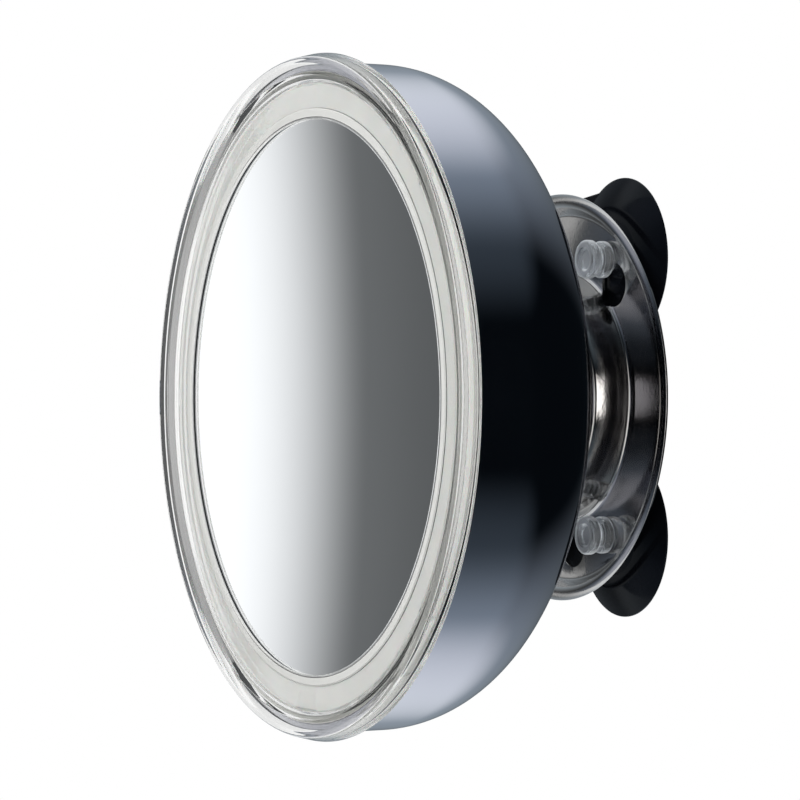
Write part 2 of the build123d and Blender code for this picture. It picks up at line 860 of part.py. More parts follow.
def suction_cup(name):
    """Rubber cup with a pull tab, and the clear plug that buttons it into its keyhole."""
    x, z = cup_centre(name)
    tab_angle = cups[name][1]
    plate_front = channel_depth - sheet_t / 2
    top = channel_depth + sheet_t / 2 + slip
    rim_top = lip_to_wall - cup_lip_t
    hollow = lip_to_wall - cup_hollow
    upper = Polyline(
        (0, at(top)), (cup_boss_r, at(top)), (cup_shoulder_r, at(top + cup_shoulder_drop))
    )
    middle = (cup_shoulder_r + cup_r) / 2
    upper += ThreePointArc(
        (cup_shoulder_r, at(top + cup_shoulder_drop)),
        (middle, at((top + cup_shoulder_drop + rim_top) / 2 - cup_bulge)),
        (cup_r, at(rim_top)),
    )
    lip_in = cup_r - cup_lip_wide
    lower = Polyline((cup_r, at(rim_top)), (cup_r, 0), (lip_in, 0))
    lower += ThreePointArc(
        (lip_in, 0), ((lip_in + cup_hollow_r) / 2, at(hollow) / 2 - cup_bulge), (cup_hollow_r, at(hollow))
    )
    lower += Polyline((cup_hollow_r, at(hollow)), (0, at(hollow)), (0, at(top)))
    cup = revolve(make_face(upper + lower), Axis.Y)
    root, reach = cup_r - cup_tab_inset, cup_r + cup_tab_long
    lean = acos((root - cup_tab_tip_r) / reach)
    far = reach + cup_tab_tip_r * cos(lean)
    tab = make_face(
        Polyline(
            (root * cos(lean), -root * sin(lean)),
            (far, -cup_tab_tip_r * sin(lean)),
            (far, cup_tab_tip_r * sin(lean)),
            (root * cos(lean), root * sin(lean)),
            close=True,
        )
    )
    tab += Pos(reach, 0) * Circle(cup_tab_tip_r)
    tab = Pos(0, at(lip_to_wall - cup_tab_t), 0) * Rot(-90, 0, 0) * extrude(tab, cup_tab_t)
    cup += placed(tab_angle) * tab - rod(lip_in + hair, hollow, lip_to_wall + cut_over)
    cup -= rod(plug_neck_r + hair, top - cut_over, top + plug_root + hair)
    cup = Pos(x, 0, z) * cup
    keep(f"suction_cup_{name}", cup)

    disc_back = plate_front - plate_gap
    disc_front = disc_back - plug_disc_t
    head_back = disc_front - plug_groove
    head_front = head_back - plug_head_t
    plug = spun(
        [
            (0, head_front + plug_well),
            (plug_well_r, head_front + plug_well),
            (plug_well_r + plug_round / 2, head_front),
            (plug_head_r, head_front),
            (plug_head_r, head_back),
            (plug_groove_r, head_back),
            (plug_groove_r, disc_front),
            (plug_disc_r, disc_front),
            (plug_disc_r, disc_back),
            (plug_neck_r, disc_back),
            (plug_neck_r, top + plug_root),
            (0, top + plug_root),
        ],
        [0, 0, 0, plug_round, plug_round, 0, 0, plug_round, plug_round, 0, 0, 0],
    )
    keep(f"cup_plug_{name}", Pos(x, 0, z) * plug)


# Battery box, cells and door

box_middle = box_top - box_high / 2
cell_rows = (box_middle - cell_pitch / 2, box_middle + cell_pitch / 2)
cell_places = [
    (z, depth, (row + layer) % 2)
    for row, z in enumerate(cell_rows)
    for layer, depth in enumerate((cell_first_depth, cell_first_depth + cell_pitch))
]


def battery_box():
    """Box open towards the door; its walls end on the inside of the shell."""
    half = box_half + box_wall
    box = block((-half, half), (box_floor, shell_depth), (box_bottom - box_wall, box_top + box_wall))
    box -= block(
        (-box_half, box_half), (box_floor + box_wall, shell_depth + cut_over), (box_bottom, box_top)
    )
    box &= dome(shell_wall + hair, 0)
    box -= ears(slip)
    keep("battery_box", box)


def battery_cells():
    """Four round cells in two layers, turned end for end in turn."""
    cells = []
    for z, depth, flip in cell_places:
        low = plate_t - box_half + (hair if flip else spring_long + 2 * hair)
        high = low + cell_body + cell_nub
        if flip:
            cell = cross_rod(cell_r, low + cell_nub, high, depth, z)
            cell += cross_rod(cell_nub_r, low, low + cell_nub, depth, z)
        else:
            cell = cross_rod(cell_r, low, low + cell_body, depth, z)
            cell += cross_rod(cell_nub_r, low + cell_body, high, depth, z)
        cells.append(cell)
    keep("battery_cells", *cells)


def battery_contacts():
    """Spring plates at both ends of each row of cells, and one coil at an end of each cell."""
    plates = []
    springs = []
    for z in cell_rows:
        for low in (-box_half, box_half - plate_t):
            plates.append(
                block(
                    (low, low + plate_t),
                    (cell_first_depth - contact_half, cell_first_depth + cell_pitch + contact_half),
                    (z - contact_half, z + contact_half),
                )
            )
    for z, depth, flip in cell_places:
        low = box_half - plate_t - hair - spring_long if flip else plate_t + hair - box_half
        high = low + spring_long
        coil = cross_rod(spring_r, low, high, depth, z)
        coil -= cross_rod(spring_r - spring_wall, low - cut_over, high + cut_over, depth, z)
        springs.append(coil)
    keep("contact_plates", *plates)
    keep("contact_springs", *springs)


def battery_door():
    """Panel cut from the crown's curve, hinged at its upper edge, and the hinge pin."""
    half = opening_half - door_gap
    door = dome(0, 0) - dome(shell_wall, 0)
    door &= block((-half, half), (cell_first_depth, shell_depth), (opening_bottom + door_gap, hinge_z))
    for side in (-1, 1):
        x = sorted((side * barrel_half, side * (barrel_half + ear_t + 2 * slip)))
        door -= block(x, (cell_first_depth, shell_depth), (ear_low - ear_gap, hinge_z + cut_over))
    door += cross_rod(barrel_r, -barrel_half, barrel_half, hinge_depth, hinge_z)
    door -= cross_rod(
        hinge_pin_r + hair, -barrel_half - cut_over, barrel_half + cut_over, hinge_depth, hinge_z
    )
    keep("battery_door", door)
    keep("door_pin", cross_rod(hinge_pin_r, -hinge_pin_half, hinge_pin_half, hinge_depth, hinge_z))


# Power button and switch

boss_face = shell_wall + boss_long - shell_r
switch_top = boss_face - switch_t


def power_button():
    """Round button with a retaining flange, and the switch plunger that it pushes."""
    outer = -shell_r - button_out
    flange = shell_wall + button_flange_in - shell_r
    stem_end = switch_top - plunger_out
    cap = cross_rod(button_r, outer, flange + button_flange_t, button_depth)
    cap = fillet(cap.edges().group_by(Axis.X)[0], button_round)
    cap += cross_rod(button_flange_r, flange, flange + button_flange_t, button_depth)
    cap += cross_rod(button_stem_r, flange, stem_end, button_depth)
    keep("power_button", cap)
    keep("switch_plunger", cross_rod(plunger_r, stem_end, switch_top + plunger_in, button_depth))


def switch_parts():
    """Push switch on its board, screwed to the end of the button's boss."""
    half = switch_size / 2
    body = block((switch_top, boss_face), (button_depth - half, button_depth + half), (-half, half))
    body -= cross_rod(plunger_r + hair, switch_top - cut_over, switch_top + plunger_bore_deep, button_depth)
    keep("switch_body", body)
    board_back = boss_face + switch_board_t
    wide, long = switch_board_wide / 2, boss_r
    board = block((boss_face, board_back), (button_depth - wide, button_depth + wide), (-long, long))
    screws = []
    for side in (-1, 1):
        z = side * (boss_bore_r + boss_r) / 2
        board -= cross_rod(
            small_screw_r + hair, boss_face - cut_over, board_back + cut_over, button_depth, z
        )
        screw = cross_rod(small_screw_r, boss_face - small_screw_grip, board_back, button_depth, z)
        screw += cross_rod(
            small_screw_head_r, board_back, board_back + small_screw_head_t, button_depth, z
        )
        screws.append(screw)
    keep("switch_board", board)
    keep("switch_screws", *screws)


# Leads

def lead(name, points):
    """Insulated wire along straight runs joined by arcs; points are (x, depth, z)."""
    places = [Vector(x, at(depth), z) for x, depth, z in points]
    radii = []
    for before, corner, after in zip(places, places[1:], places[2:]):
        turn = (corner - before).get_angle(after - corner)
        run = min((corner - before).length, (after - corner).length)
        radii.append(min(lead_bend, run_share * run / tan(radians(turn) / 2)))
    route = FilletPolyline(*places, radius=radii)
    section = Plane(origin=route @ 0, z_dir=route % 0) * Circle(lead_r)
    keep(name, sweep(section, path=route))


def leads():
    """Wire from the box to the switch board, and from the switch board to the lamp board."""
    board_back = boss_face + switch_board_t
    wall = box_half + box_wall
    middle = (cell_first_depth + button_depth) / 2
    end = -post_circle_r
    lead(
        "battery_lead",
        [
            (-wall, middle, box_middle),
            (-wall - 2 * lead_bend, middle, box_middle),
            (end, middle + lead_bend, box_top),
            (end, middle + lead_bend, box_top / 2),
            (board_back + lead_bend, button_depth, -lead_step),
            (board_back, button_depth, -lead_step),
        ],
    )
    solder = lamp_lead_place.position
    under = board_front + board_t
    turn = button_depth - switch_board_wide / 2 - lead_pass
    lead(
        "lamp_lead",
        [
            (board_back, button_depth, lead_step),
            (board_back + lead_bend / 2, button_depth, lead_step),
            (board_back + lead_bend / 2, turn, solder.Z / 2),
            (solder.X, turn - 2 * lead_r, solder.Z),
            (solder.X, under, solder.Z),
        ],
    )


light_ring()
diffuser_ring()
mirror_glass()
mirror_gasket()
mirror_pad()
mirror_tray()
tray_screws()
led_board()
leds()
resistors()
rear_shell()
pivot_plate()
ball_stud()
neck_collar()
stud_fasteners()
socket_liner()
socket_housing()
socket_inside()
socket_rivets()
base_plate()
for cup_name in cups:
    suction_cup(cup_name)
battery_box()
battery_cells()
battery_contacts()
battery_door()
power_button()
switch_parts()
leads()

os.makedirs("parts", exist_ok=True)
for node, solids in nodes.items():
    shape = solids[0] if len(solids) == 1 else Compound(solids)
    export_step(shape, f"parts/{node}.step")
    print(f"{node}: {len(solids)} solids, {sum(solid.volume for solid in solids):.1f} mm3")
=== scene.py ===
import json
import logging
import math
from collections.abc import Sequence
from dataclasses import dataclass
from enum import Enum

import bmesh
import bpy
import numpy as np
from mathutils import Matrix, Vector
from numpy.typing import NDArray


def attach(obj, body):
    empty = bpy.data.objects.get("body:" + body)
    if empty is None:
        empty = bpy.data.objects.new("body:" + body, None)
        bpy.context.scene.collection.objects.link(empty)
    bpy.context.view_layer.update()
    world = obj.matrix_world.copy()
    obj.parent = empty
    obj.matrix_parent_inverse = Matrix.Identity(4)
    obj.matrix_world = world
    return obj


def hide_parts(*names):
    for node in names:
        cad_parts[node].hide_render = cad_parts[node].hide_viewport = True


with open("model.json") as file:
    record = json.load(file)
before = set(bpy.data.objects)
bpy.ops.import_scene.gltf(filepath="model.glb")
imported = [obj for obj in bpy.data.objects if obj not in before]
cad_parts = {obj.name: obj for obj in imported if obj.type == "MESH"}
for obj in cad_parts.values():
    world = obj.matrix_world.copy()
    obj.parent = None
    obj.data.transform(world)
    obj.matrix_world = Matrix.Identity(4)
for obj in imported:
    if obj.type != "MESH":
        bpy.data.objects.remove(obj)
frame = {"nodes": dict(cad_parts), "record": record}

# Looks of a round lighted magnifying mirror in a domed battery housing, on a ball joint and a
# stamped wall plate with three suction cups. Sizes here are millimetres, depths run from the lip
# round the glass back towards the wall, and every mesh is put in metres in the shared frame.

log = logging.getLogger("mirror")
Array = NDArray[np.float64]
Colour = tuple[float, float, float]
Pair = tuple[float, float]
Rows = tuple[tuple[float, ...], ...]
Thing = bpy.types.Object
Socket = bpy.types.NodeSocket

MM = 0.001
TURN = 2 * math.pi
WALL_DEPTH = 94.2      # from the lip round the glass to the wall
ROUND_STEPS = 5        # points in the arc of a rounded corner
HOLD = 0.25            # how far from an arc the points lie that keep a flat face flat
HOLD_SHARE = 0.3       # the largest share of a free side that HOLD may take
ARC_SHARE = 0.48       # the largest share of a side that one corner's arc may take
TINY = 1e-4            # millimetres or radians that count as nothing
SHARP = math.radians(32)       # edges at least this sharp aren't shaded smooth
BEVELLED = math.radians(40)    # edges at least this sharp are rounded
FLAT = math.radians(0.4)       # faces that meet at less than this are one
COAT_ROUGH = 0.04      # roughness of every clear coat
GLOW_DEPTH = 0.002     # how deep light wanders under a glowing surface, in metres
CLEARANCE = 0.05       # round the hinge pin
PAST = 2.0             # how far most cutters reach past the faces that they cut
MERGE = 1e-7           # metres within which the points of a new mesh are merged
MERGE_CUT = 1e-6       # the same after a cut
MERGE_CAD = 2e-6       # the same in the copy of a CAD mesh
SHADE_DETAIL = 3       # finer layers in the noise that varies a finish's colour
MARK_DETAIL = 5        # finer layers in the noise of its handling marks
MARK_RANGE = (0.4, 0.75)       # the part of that noise that shows as marks
BRUSH = (1, 12, 1)     # how much finer brushing is along X, Y and Z
PANE = (0.94, 0.94, 0.93, 1)   # colour of the lamps' light behind a clear piece


class Axis(Enum):
    """Which way the axis of a turned piece points, as rows that make X, Y and Z of (a, b, h)."""

    DEPTH = ((1, 0, 0), (0, 0, 1), (0, 1, 0))
    ACROSS = ((0, 0, 1), (1, 0, 0), (0, 1, 0))


class Pattern(Enum):
    """How the fine pattern of a finish runs."""

    PEEL = "even, as the skin of an orange"
    BRUSHED = "drawn out round the mirror's axis"
    SPECKLE = "small round grains"


# Outlines and surfaces


def rounded(points: Sequence[Sequence[float]], radii: float | Sequence[float]) -> Array:
    """Closed outline with its corners rounded.

    An arc of radius r meets both sides of a corner at r / tan(half the corner's angle), and its
    middle lies on the bisector at r / sin(half the angle). Points just outside each arc keep the
    flats flat. A radius of 0 leaves a point as it is, as on a curve.

    Args:
        points: the corners, as (radius, depth) or any other two coordinates.
        radii: one radius for all corners, or one for each.

    Returns:
        The points of the outline, one row each.
    """
    corner = np.asarray(points, float)
    radius = np.broadcast_to(np.asarray(radii, float), len(corner)).copy()
    back, ahead = np.roll(corner, 1, 0) - corner, np.roll(corner, -1, 0) - corner
    back_long, ahead_long = np.linalg.norm(back, axis=1), np.linalg.norm(ahead, axis=1)
    back, ahead = back / back_long[:, None], ahead / ahead_long[:, None]
    half = np.arccos(np.clip((back * ahead).sum(1), -1, 1)) / 2
    half = np.clip(half, TINY, math.pi / 2 - TINY)
    reach = np.minimum(radius / np.tan(half), ARC_SHARE * np.minimum(back_long, ahead_long))
    radius = reach * np.tan(half)
    bisector = back + ahead
    bisector /= np.maximum(np.linalg.norm(bisector, axis=1), 1e-9)[:, None]
    middle = corner + bisector * (radius / np.sin(half))[:, None]
    first, last = corner + back * reach[:, None], corner + ahead * reach[:, None]
    sweep = (math.pi - 2 * half)[:, None]
    share = np.linspace(0, 1, ROUND_STEPS + 1)[None, :]
    near = (np.sin((1 - share) * sweep) / np.sin(sweep))[..., None]
    far = (np.sin(share * sweep) / np.sin(sweep))[..., None]
    arc = middle[:, None] + (first - middle)[:, None] * near + (last - middle)[:, None] * far
    spare = (back_long - reach - np.roll(reach, 1), ahead_long - reach - np.roll(reach, -1))
    hold_back, hold_ahead = (
        np.where(radius > 0, np.minimum(HOLD, HOLD_SHARE * free), 0)[:, None] for free in spare
    )
    rows = np.concatenate(
        [(first + back * hold_back)[:, None], arc, (last + ahead * hold_ahead)[:, None]], axis=1
    ).reshape(-1, 2)
    step = np.linalg.norm(rows - np.roll(rows, 1, 0), axis=1)
    return rows[step > TINY]


def profile(rows: Sequence[Sequence[float]]) -> Array:
    """Closed outline from rows of two coordinates and the radius of the corner there."""
    table = np.asarray(rows, float)
    return rounded(table[:, :2], table[:, 2])


def corners(points: Sequence[Sequence[float]], radius: float = 0) -> Array:
    """Rows for a profile from points with one corner radius, which is 0 on a curve."""
    return np.column_stack([points, np.full(len(points), radius)])


def arc_points(middle: Sequence[float], radius: float, start: float, end: float,
               count: int) -> Array:
    """Points at middle + radius * (sin, cos) of angles in degrees from the depth axis."""
    angle = np.radians(np.linspace(start, end, count))
    return np.asarray(middle) + radius * np.stack([np.sin(angle), np.cos(angle)], -1)


def spot_at(radius: float, degrees: float) -> Pair:
    """The two coordinates of a point at a distance and an angle from the axis."""
    return radius * math.cos(math.radians(degrees)), radius * math.sin(math.radians(degrees))


def surface(name: str, grid: Array, wrap_rows: bool = True, wrap_columns: bool = True) -> Thing:
    """Smooth object from a grid of points, with four-cornered faces between neighbours.

    Args:
        name: the piece's name.
        grid: points in metres as rows x columns x 3.
        wrap_rows: whether the last row joins the first.
        wrap_columns: whether the last column joins the first.

    Returns:
        The object, linked to the scene.
    """
    rows, columns = grid.shape[:2]
    index = np.arange(rows * columns, dtype=np.int32).reshape(rows, columns)
    if wrap_rows:
        index = np.vstack([index, index[:1]])
    if wrap_columns:
        index = np.hstack([index, index[:, :1]])
    quads = np.stack([index[:-1, :-1], index[1:, :-1], index[1:, 1:], index[:-1, 1:]], -1)
    mesh = bpy.data.meshes.new(name)
    mesh.vertices.add(rows * columns)
    mesh.vertices.foreach_set("co", np.ascontiguousarray(grid, np.float32).ravel())
    mesh.loops.add(quads.size)
    mesh.loops.foreach_set("vertex_index", quads.ravel())
    mesh.polygons.add(quads.size // 4)
    mesh.polygons.foreach_set("loop_start", np.arange(0, quads.size, 4, dtype=np.int32))
    mesh.update(calc_edges=True)
    mesh.validate()
    return tidied(linked(name, mesh))


def linked(name: str, data: bpy.types.ID) -> Thing:
    """New object in the scene.

    Args:
        name: its name.
        data: its mesh, camera or light.

    Returns:
        The object.
    """
    thing = bpy.data.objects.new(name, data)
    bpy.context.scene.collection.objects.link(thing)
    return thing


def tidied(thing: Thing, close: float = MERGE) -> Thing:
    """Merge points that are nearly one, turn the faces outwards and shade them smooth.

    Args:
        thing: the object, whose mesh is changed.
        close: how many metres apart two points are merged.

    Returns:
        The same object.
    """
    work = bmesh.new()
    work.from_mesh(thing.data)
    bmesh.ops.remove_doubles(work, verts=work.verts, dist=close)
    bmesh.ops.recalc_face_normals(work, faces=work.faces)
    work.to_mesh(thing.data)
    work.free()
    thing.data.polygons.foreach_set("use_smooth", np.ones(len(thing.data.polygons), bool))
    thing.data.set_sharp_from_angle(angle=SHARP)
    return thing


def placed(points: Array, axis: Axis = Axis.DEPTH) -> Array:
    """Lay points along the axis and put them in metres in the frame.

    Args:
        points: (a, b, height) in millimetres, in a grid of any shape.
        axis: which way the height points.

    Returns:
        X, Y and Z in metres, in the same grid.
    """
    made = points @ np.array(axis.value, float).T
    made[..., 1] -= WALL_DEPTH
    return made * MM


def lathe(outline: Array, angle: Array, middle: Pair = (0, 0)) -> Array:
    """Grid of (a + r cos t, b + r sin t, h) for each point (r, h) of an outline and angle t.

    Args:
        outline: rows of r and h.
        angle: the angles t in radians.
        middle: a and b, where the axis lies.

    Returns:
        The grid, with a row for each point of the outline and a column for each angle.
    """
    first = middle[0] + outline[:, :1] * np.cos(angle)
    second = middle[1] + outline[:, :1] * np.sin(angle)
    return np.stack([first, second, np.broadcast_to(outline[:, 1:], first.shape)], -1)


def turned(name: str, outline: Array, axis: Axis = Axis.DEPTH, middle: Pair = (0, 0),
           segments: int = 320, closed: bool = True) -> Thing:
    """Piece turned on a lathe.

    Args:
        name: the piece's name.
        outline: (radius, height) rows; height is a depth on the depth axis, or an X across.
        axis: which way the axis points.
        middle: where the axis lies in the two other coordinates.
        segments: how many steps go round.
        closed: whether the outline's end joins its start, or both lie on the axis.

    Returns:
        The object.
    """
    angle = np.linspace(0, TURN, segments, endpoint=False)
    return surface(name, placed(lathe(outline, angle, middle), axis), wrap_rows=closed)


def rod(name: str, radius: float, low: float, high: float, middle: Pair = (0, 0),
        axis: Axis = Axis.DEPTH, segments: int = 48) -> Thing:
    """Plain round bar from a low to a high height, turned as above."""
    outline = np.array([(0, low), (radius, low), (radius, high), (0, high)], float)
    return turned(name, outline, axis, middle, segments, closed=False)


def capped(name: str, grid: Array) -> Thing:
    """Bar of closed outlines, one for each column of the grid, with its ends closed by fans."""
    ends = [np.broadcast_to(grid[:, end].mean(0), (len(grid), 1, 3)) for end in (0, -1)]
    return surface(name, np.concatenate([ends[0], grid, ends[1]], 1), wrap_columns=False)


def prism(name: str, centre: Sequence[float], flat: Array, heights: Sequence[float]) -> Thing:
    """Solid of outlines at rising depths, closed at both ends by fans from a middle.

    Args:
        name: the piece's name.
        centre: X and Z of the middle, from which every point of the outlines is seen.
        flat: one outline for all depths, or one for each, as rows of X and Z.
        heights: the depths.

    Returns:
        The object.
    """
    pole = np.broadcast_to(np.asarray(centre, float), (1, flat.shape[-2], 2))
    rows = np.concatenate([pole, np.broadcast_to(flat, (len(heights), *pole.shape[1:])), pole])
    level = np.array([heights[0], *heights, heights[-1]], float)[:, None, None]
    grid = np.concatenate([rows, np.broadcast_to(level, (*rows.shape[:2], 1))], -1)
    return surface(name, placed(grid), wrap_rows=False)


def soft_edge(low: float, high: float, edge: float) -> tuple[Array, Array]:
    """Rows that go round two rounded edges of a plate: edge * (1 - sin u) and (1 - cos u).

    Args:
        low: the plate's lower face.
        high: its upper face.
        edge: the radius of its edges.

    Returns:
        How far each row is drawn in, and its height.
    """
    turn = np.linspace(0, math.pi / 2, ROUND_STEPS)
    dip, rise = edge * (1 - np.sin(turn)), edge * (1 - np.cos(turn))
    return np.concatenate([dip, rise]), np.concatenate([low + rise, high - dip])


def block(name: str, x: Pair, depth: Pair, z: Pair, corner: float, edge: float = 0) -> Thing:
    """Block with rounded corners.

    Args:
        name: its name.
        x: lower and upper X.
        depth: nearer and farther depth.
        z: lower and upper Z.
        corner: radius of the corners that are seen from the wall.
        edge: radius of the edges round its two faces, if any.

    Returns:
        The object.
    """
    outline = rounded([(x[0], z[0]), (x[1], z[0]), (x[1], z[1]), (x[0], z[1])], corner)
    centre = outline.mean(0)
    if not edge:
        return prism(name, centre, outline, depth)
    spoke = outline - centre
    inset, lift = soft_edge(*depth, edge)
    inset = np.array([edge + HOLD, *inset, edge + HOLD])[:, None, None]
    flat = centre + spoke * (1 - inset / np.linalg.norm(spoke, axis=1, keepdims=True))
    return prism(name, centre, flat, [depth[0], *lift, depth[1]])


# Work on meshes


def baked(thing: Thing) -> Thing:
    """Apply an object's modifiers to its mesh.

    Args:
        thing: the object.

    Returns:
        The same object with its new mesh and no modifier.
    """
    graph = bpy.context.evaluated_depsgraph_get()
    made = bpy.data.meshes.new_from_object(thing.evaluated_get(graph))
    old = thing.data
    thing.modifiers.clear()
    thing.data = made
    bpy.data.meshes.remove(old)
    return thing


def joined(thing: Thing, tool: Thing, how: str = "DIFFERENCE") -> Thing:
    """Cut a closed mesh with another, or add it, or keep only where they overlap.

    Args:
        thing: the object that stays.
        tool: the other object, which is deleted.
        how: DIFFERENCE, UNION or INTERSECT.

    Returns:
        The object that stays.
    """
    step = thing.modifiers.new("join", "BOOLEAN")
    step.operation, step.solver, step.object = how, "EXACT", tool
    baked(thing)
    made = tool.data
    bpy.data.objects.remove(tool)
    bpy.data.meshes.remove(made)
    return tidied(thing, MERGE_CUT)


def bevelled(thing: Thing, width: float, segments: int = 2) -> Thing:
    """Round the sharp edges of a mesh.

    Args:
        thing: the object.
        width: how wide the rounding is, in millimetres.
        segments: how many faces go across it.

    Returns:
        The same object.
    """
    step = thing.modifiers.new("edges", "BEVEL")
    step.width, step.segments, step.limit_method = width * MM, segments, "ANGLE"
    step.angle_limit = BEVELLED
    step.use_clamp_overlap = True
    step.miter_outer = "MITER_ARC"
    return tidied(baked(thing))


def copied(node: str, name: str, edge: float) -> Thing:
    """Copy a CAD node, merge its points, clear its flats and round its edges.

    Args:
        node: the CAD node.
        name: the new piece's name.
        edge: how wide the rounding is, in millimetres.

    Returns:
        The copy.
    """
    thing = linked(name, frame["nodes"][node].data.copy())
    thing.data.materials.clear()
    if thing.data.has_custom_normals:
        thing.data.attributes.remove(thing.data.attributes["custom_normal"])
    work = bmesh.new()
    work.from_mesh(thing.data)
    bmesh.ops.remove_doubles(work, verts=work.verts, dist=MERGE_CAD)
    bmesh.ops.dissolve_limit(work, angle_limit=FLAT, verts=work.verts, edges=work.edges)
    work.to_mesh(thing.data)
    work.free()
    return bevelled(tidied(thing), edge)


# Finishes


class Shader:
    """A node tree under construction, with short ways to add and link its nodes."""

    def __init__(self, owner: bpy.types.Material | bpy.types.World) -> None:
        """Start an empty node tree.

        Args:
            owner: the new material or world that the tree belongs to.
        """
        owner.use_nodes = True
        self.owner, self.tree = owner, owner.node_tree
        self.tree.nodes.clear()

    def node(self, kind: str, **values: object) -> bpy.types.Node:
        """Add a node.

        Args:
            kind: the node's type without ShaderNode.
            **values: attributes of the node, or values or links of its inputs, which are given
                by name, with an underscore for a space, or by number, as i0.

        Returns:
            The node.
        """
        node = self.tree.nodes.new(f"ShaderNode{kind}")
        for key, value in values.items():
            if hasattr(node, key) and key not in node.inputs:
                setattr(node, key, value)
                continue
            numbered = key[0] == "i" and key[1:].isdigit()
            port = node.inputs[int(key[1:]) if numbered else key.replace("_", " ")]
            if isinstance(value, Socket):
                self.tree.links.new(value, port)
            else:
                port.default_value = value
        return node

    def add(self, kind: str, out: int | str = 0, **values: object) -> Socket:
        """Add a node as above and give its first output, or the one that is named."""
        return self.node(kind, **values).outputs[out]

    def end(self, shown: Socket) -> bpy.types.Material | bpy.types.World:
        """Show a surface or background.

        Args:
            shown: the output of the last shader.

        Returns:
            The material or world that the tree belongs to.
        """
        kind = "World" if isinstance(self.owner, bpy.types.World) else "Material"
        self.node(f"Output{kind}", Surface=shown)
        return self.owner

    def math(self, operation: str, first: Socket | float, second: Socket | float) -> Socket:
        """Work out one number from two."""
        return self.add("Math", operation=operation, i0=first, i1=second)

    def place(self) -> Socket:
        """The surface point in the piece's own coordinates, in metres."""
        return self.add("TexCoord", "Object")

    def away(self, *kept: float) -> Socket:
        """Distance in metres from an axis through the origin, from the kept coordinates."""
        flat = self.add("Mapping", Vector=self.place(), Scale=kept)
        return self.add("VectorMath", "Value", operation="LENGTH", i0=flat)

    def noise(self, size: float, detail: float = 2,
              stretch: Sequence[float] | None = None) -> Socket:
        """Add noise with lumps of a size.

        Args:
            size: the lumps' size in millimetres.
            detail: how many finer layers it has.
            stretch: how many times finer it is along X, Y and Z, if it isn't even.

        Returns:
            A value from 0 to 1.
        """
        point = self.place()
        if stretch is not None:
            point = self.add("Mapping", Vector=point, Scale=stretch)
        return self.add("TexNoise", "Fac", Vector=point, Scale=1 / (size * MM), Detail=detail)

    def ranged(self, value: Socket, low: float, high: float, start: float = 0.3,
               end: float = 0.7, kind: str = "LINEAR") -> Socket:
        """Map a value from start..end to low..high, held at both ends."""
        return self.add("MapRange", interpolation_type=kind, Value=value, From_Min=start,
                        From_Max=end, To_Min=low, To_Max=high)

    def mixed(self, share: Socket, first: object, second: object) -> Socket:
        """Mix two numbers, two colours or sockets of either.

        Args:
            share: 0 for the first and 1 for the second.
            first: a number, a colour or a socket.
            second: a number, a colour, or a socket where numbers are mixed.

        Returns:
            The mix.
        """
        if not isinstance(second, tuple):
            return self.add("Mix", data_type="FLOAT", i0=share, i2=first, i3=second)
        first, second = (
            (*side, 1) if isinstance(side, tuple) else side for side in (first, second)
        )
        return self.add("Mix", 2, data_type="RGBA", i0=share, i6=first, i7=second)


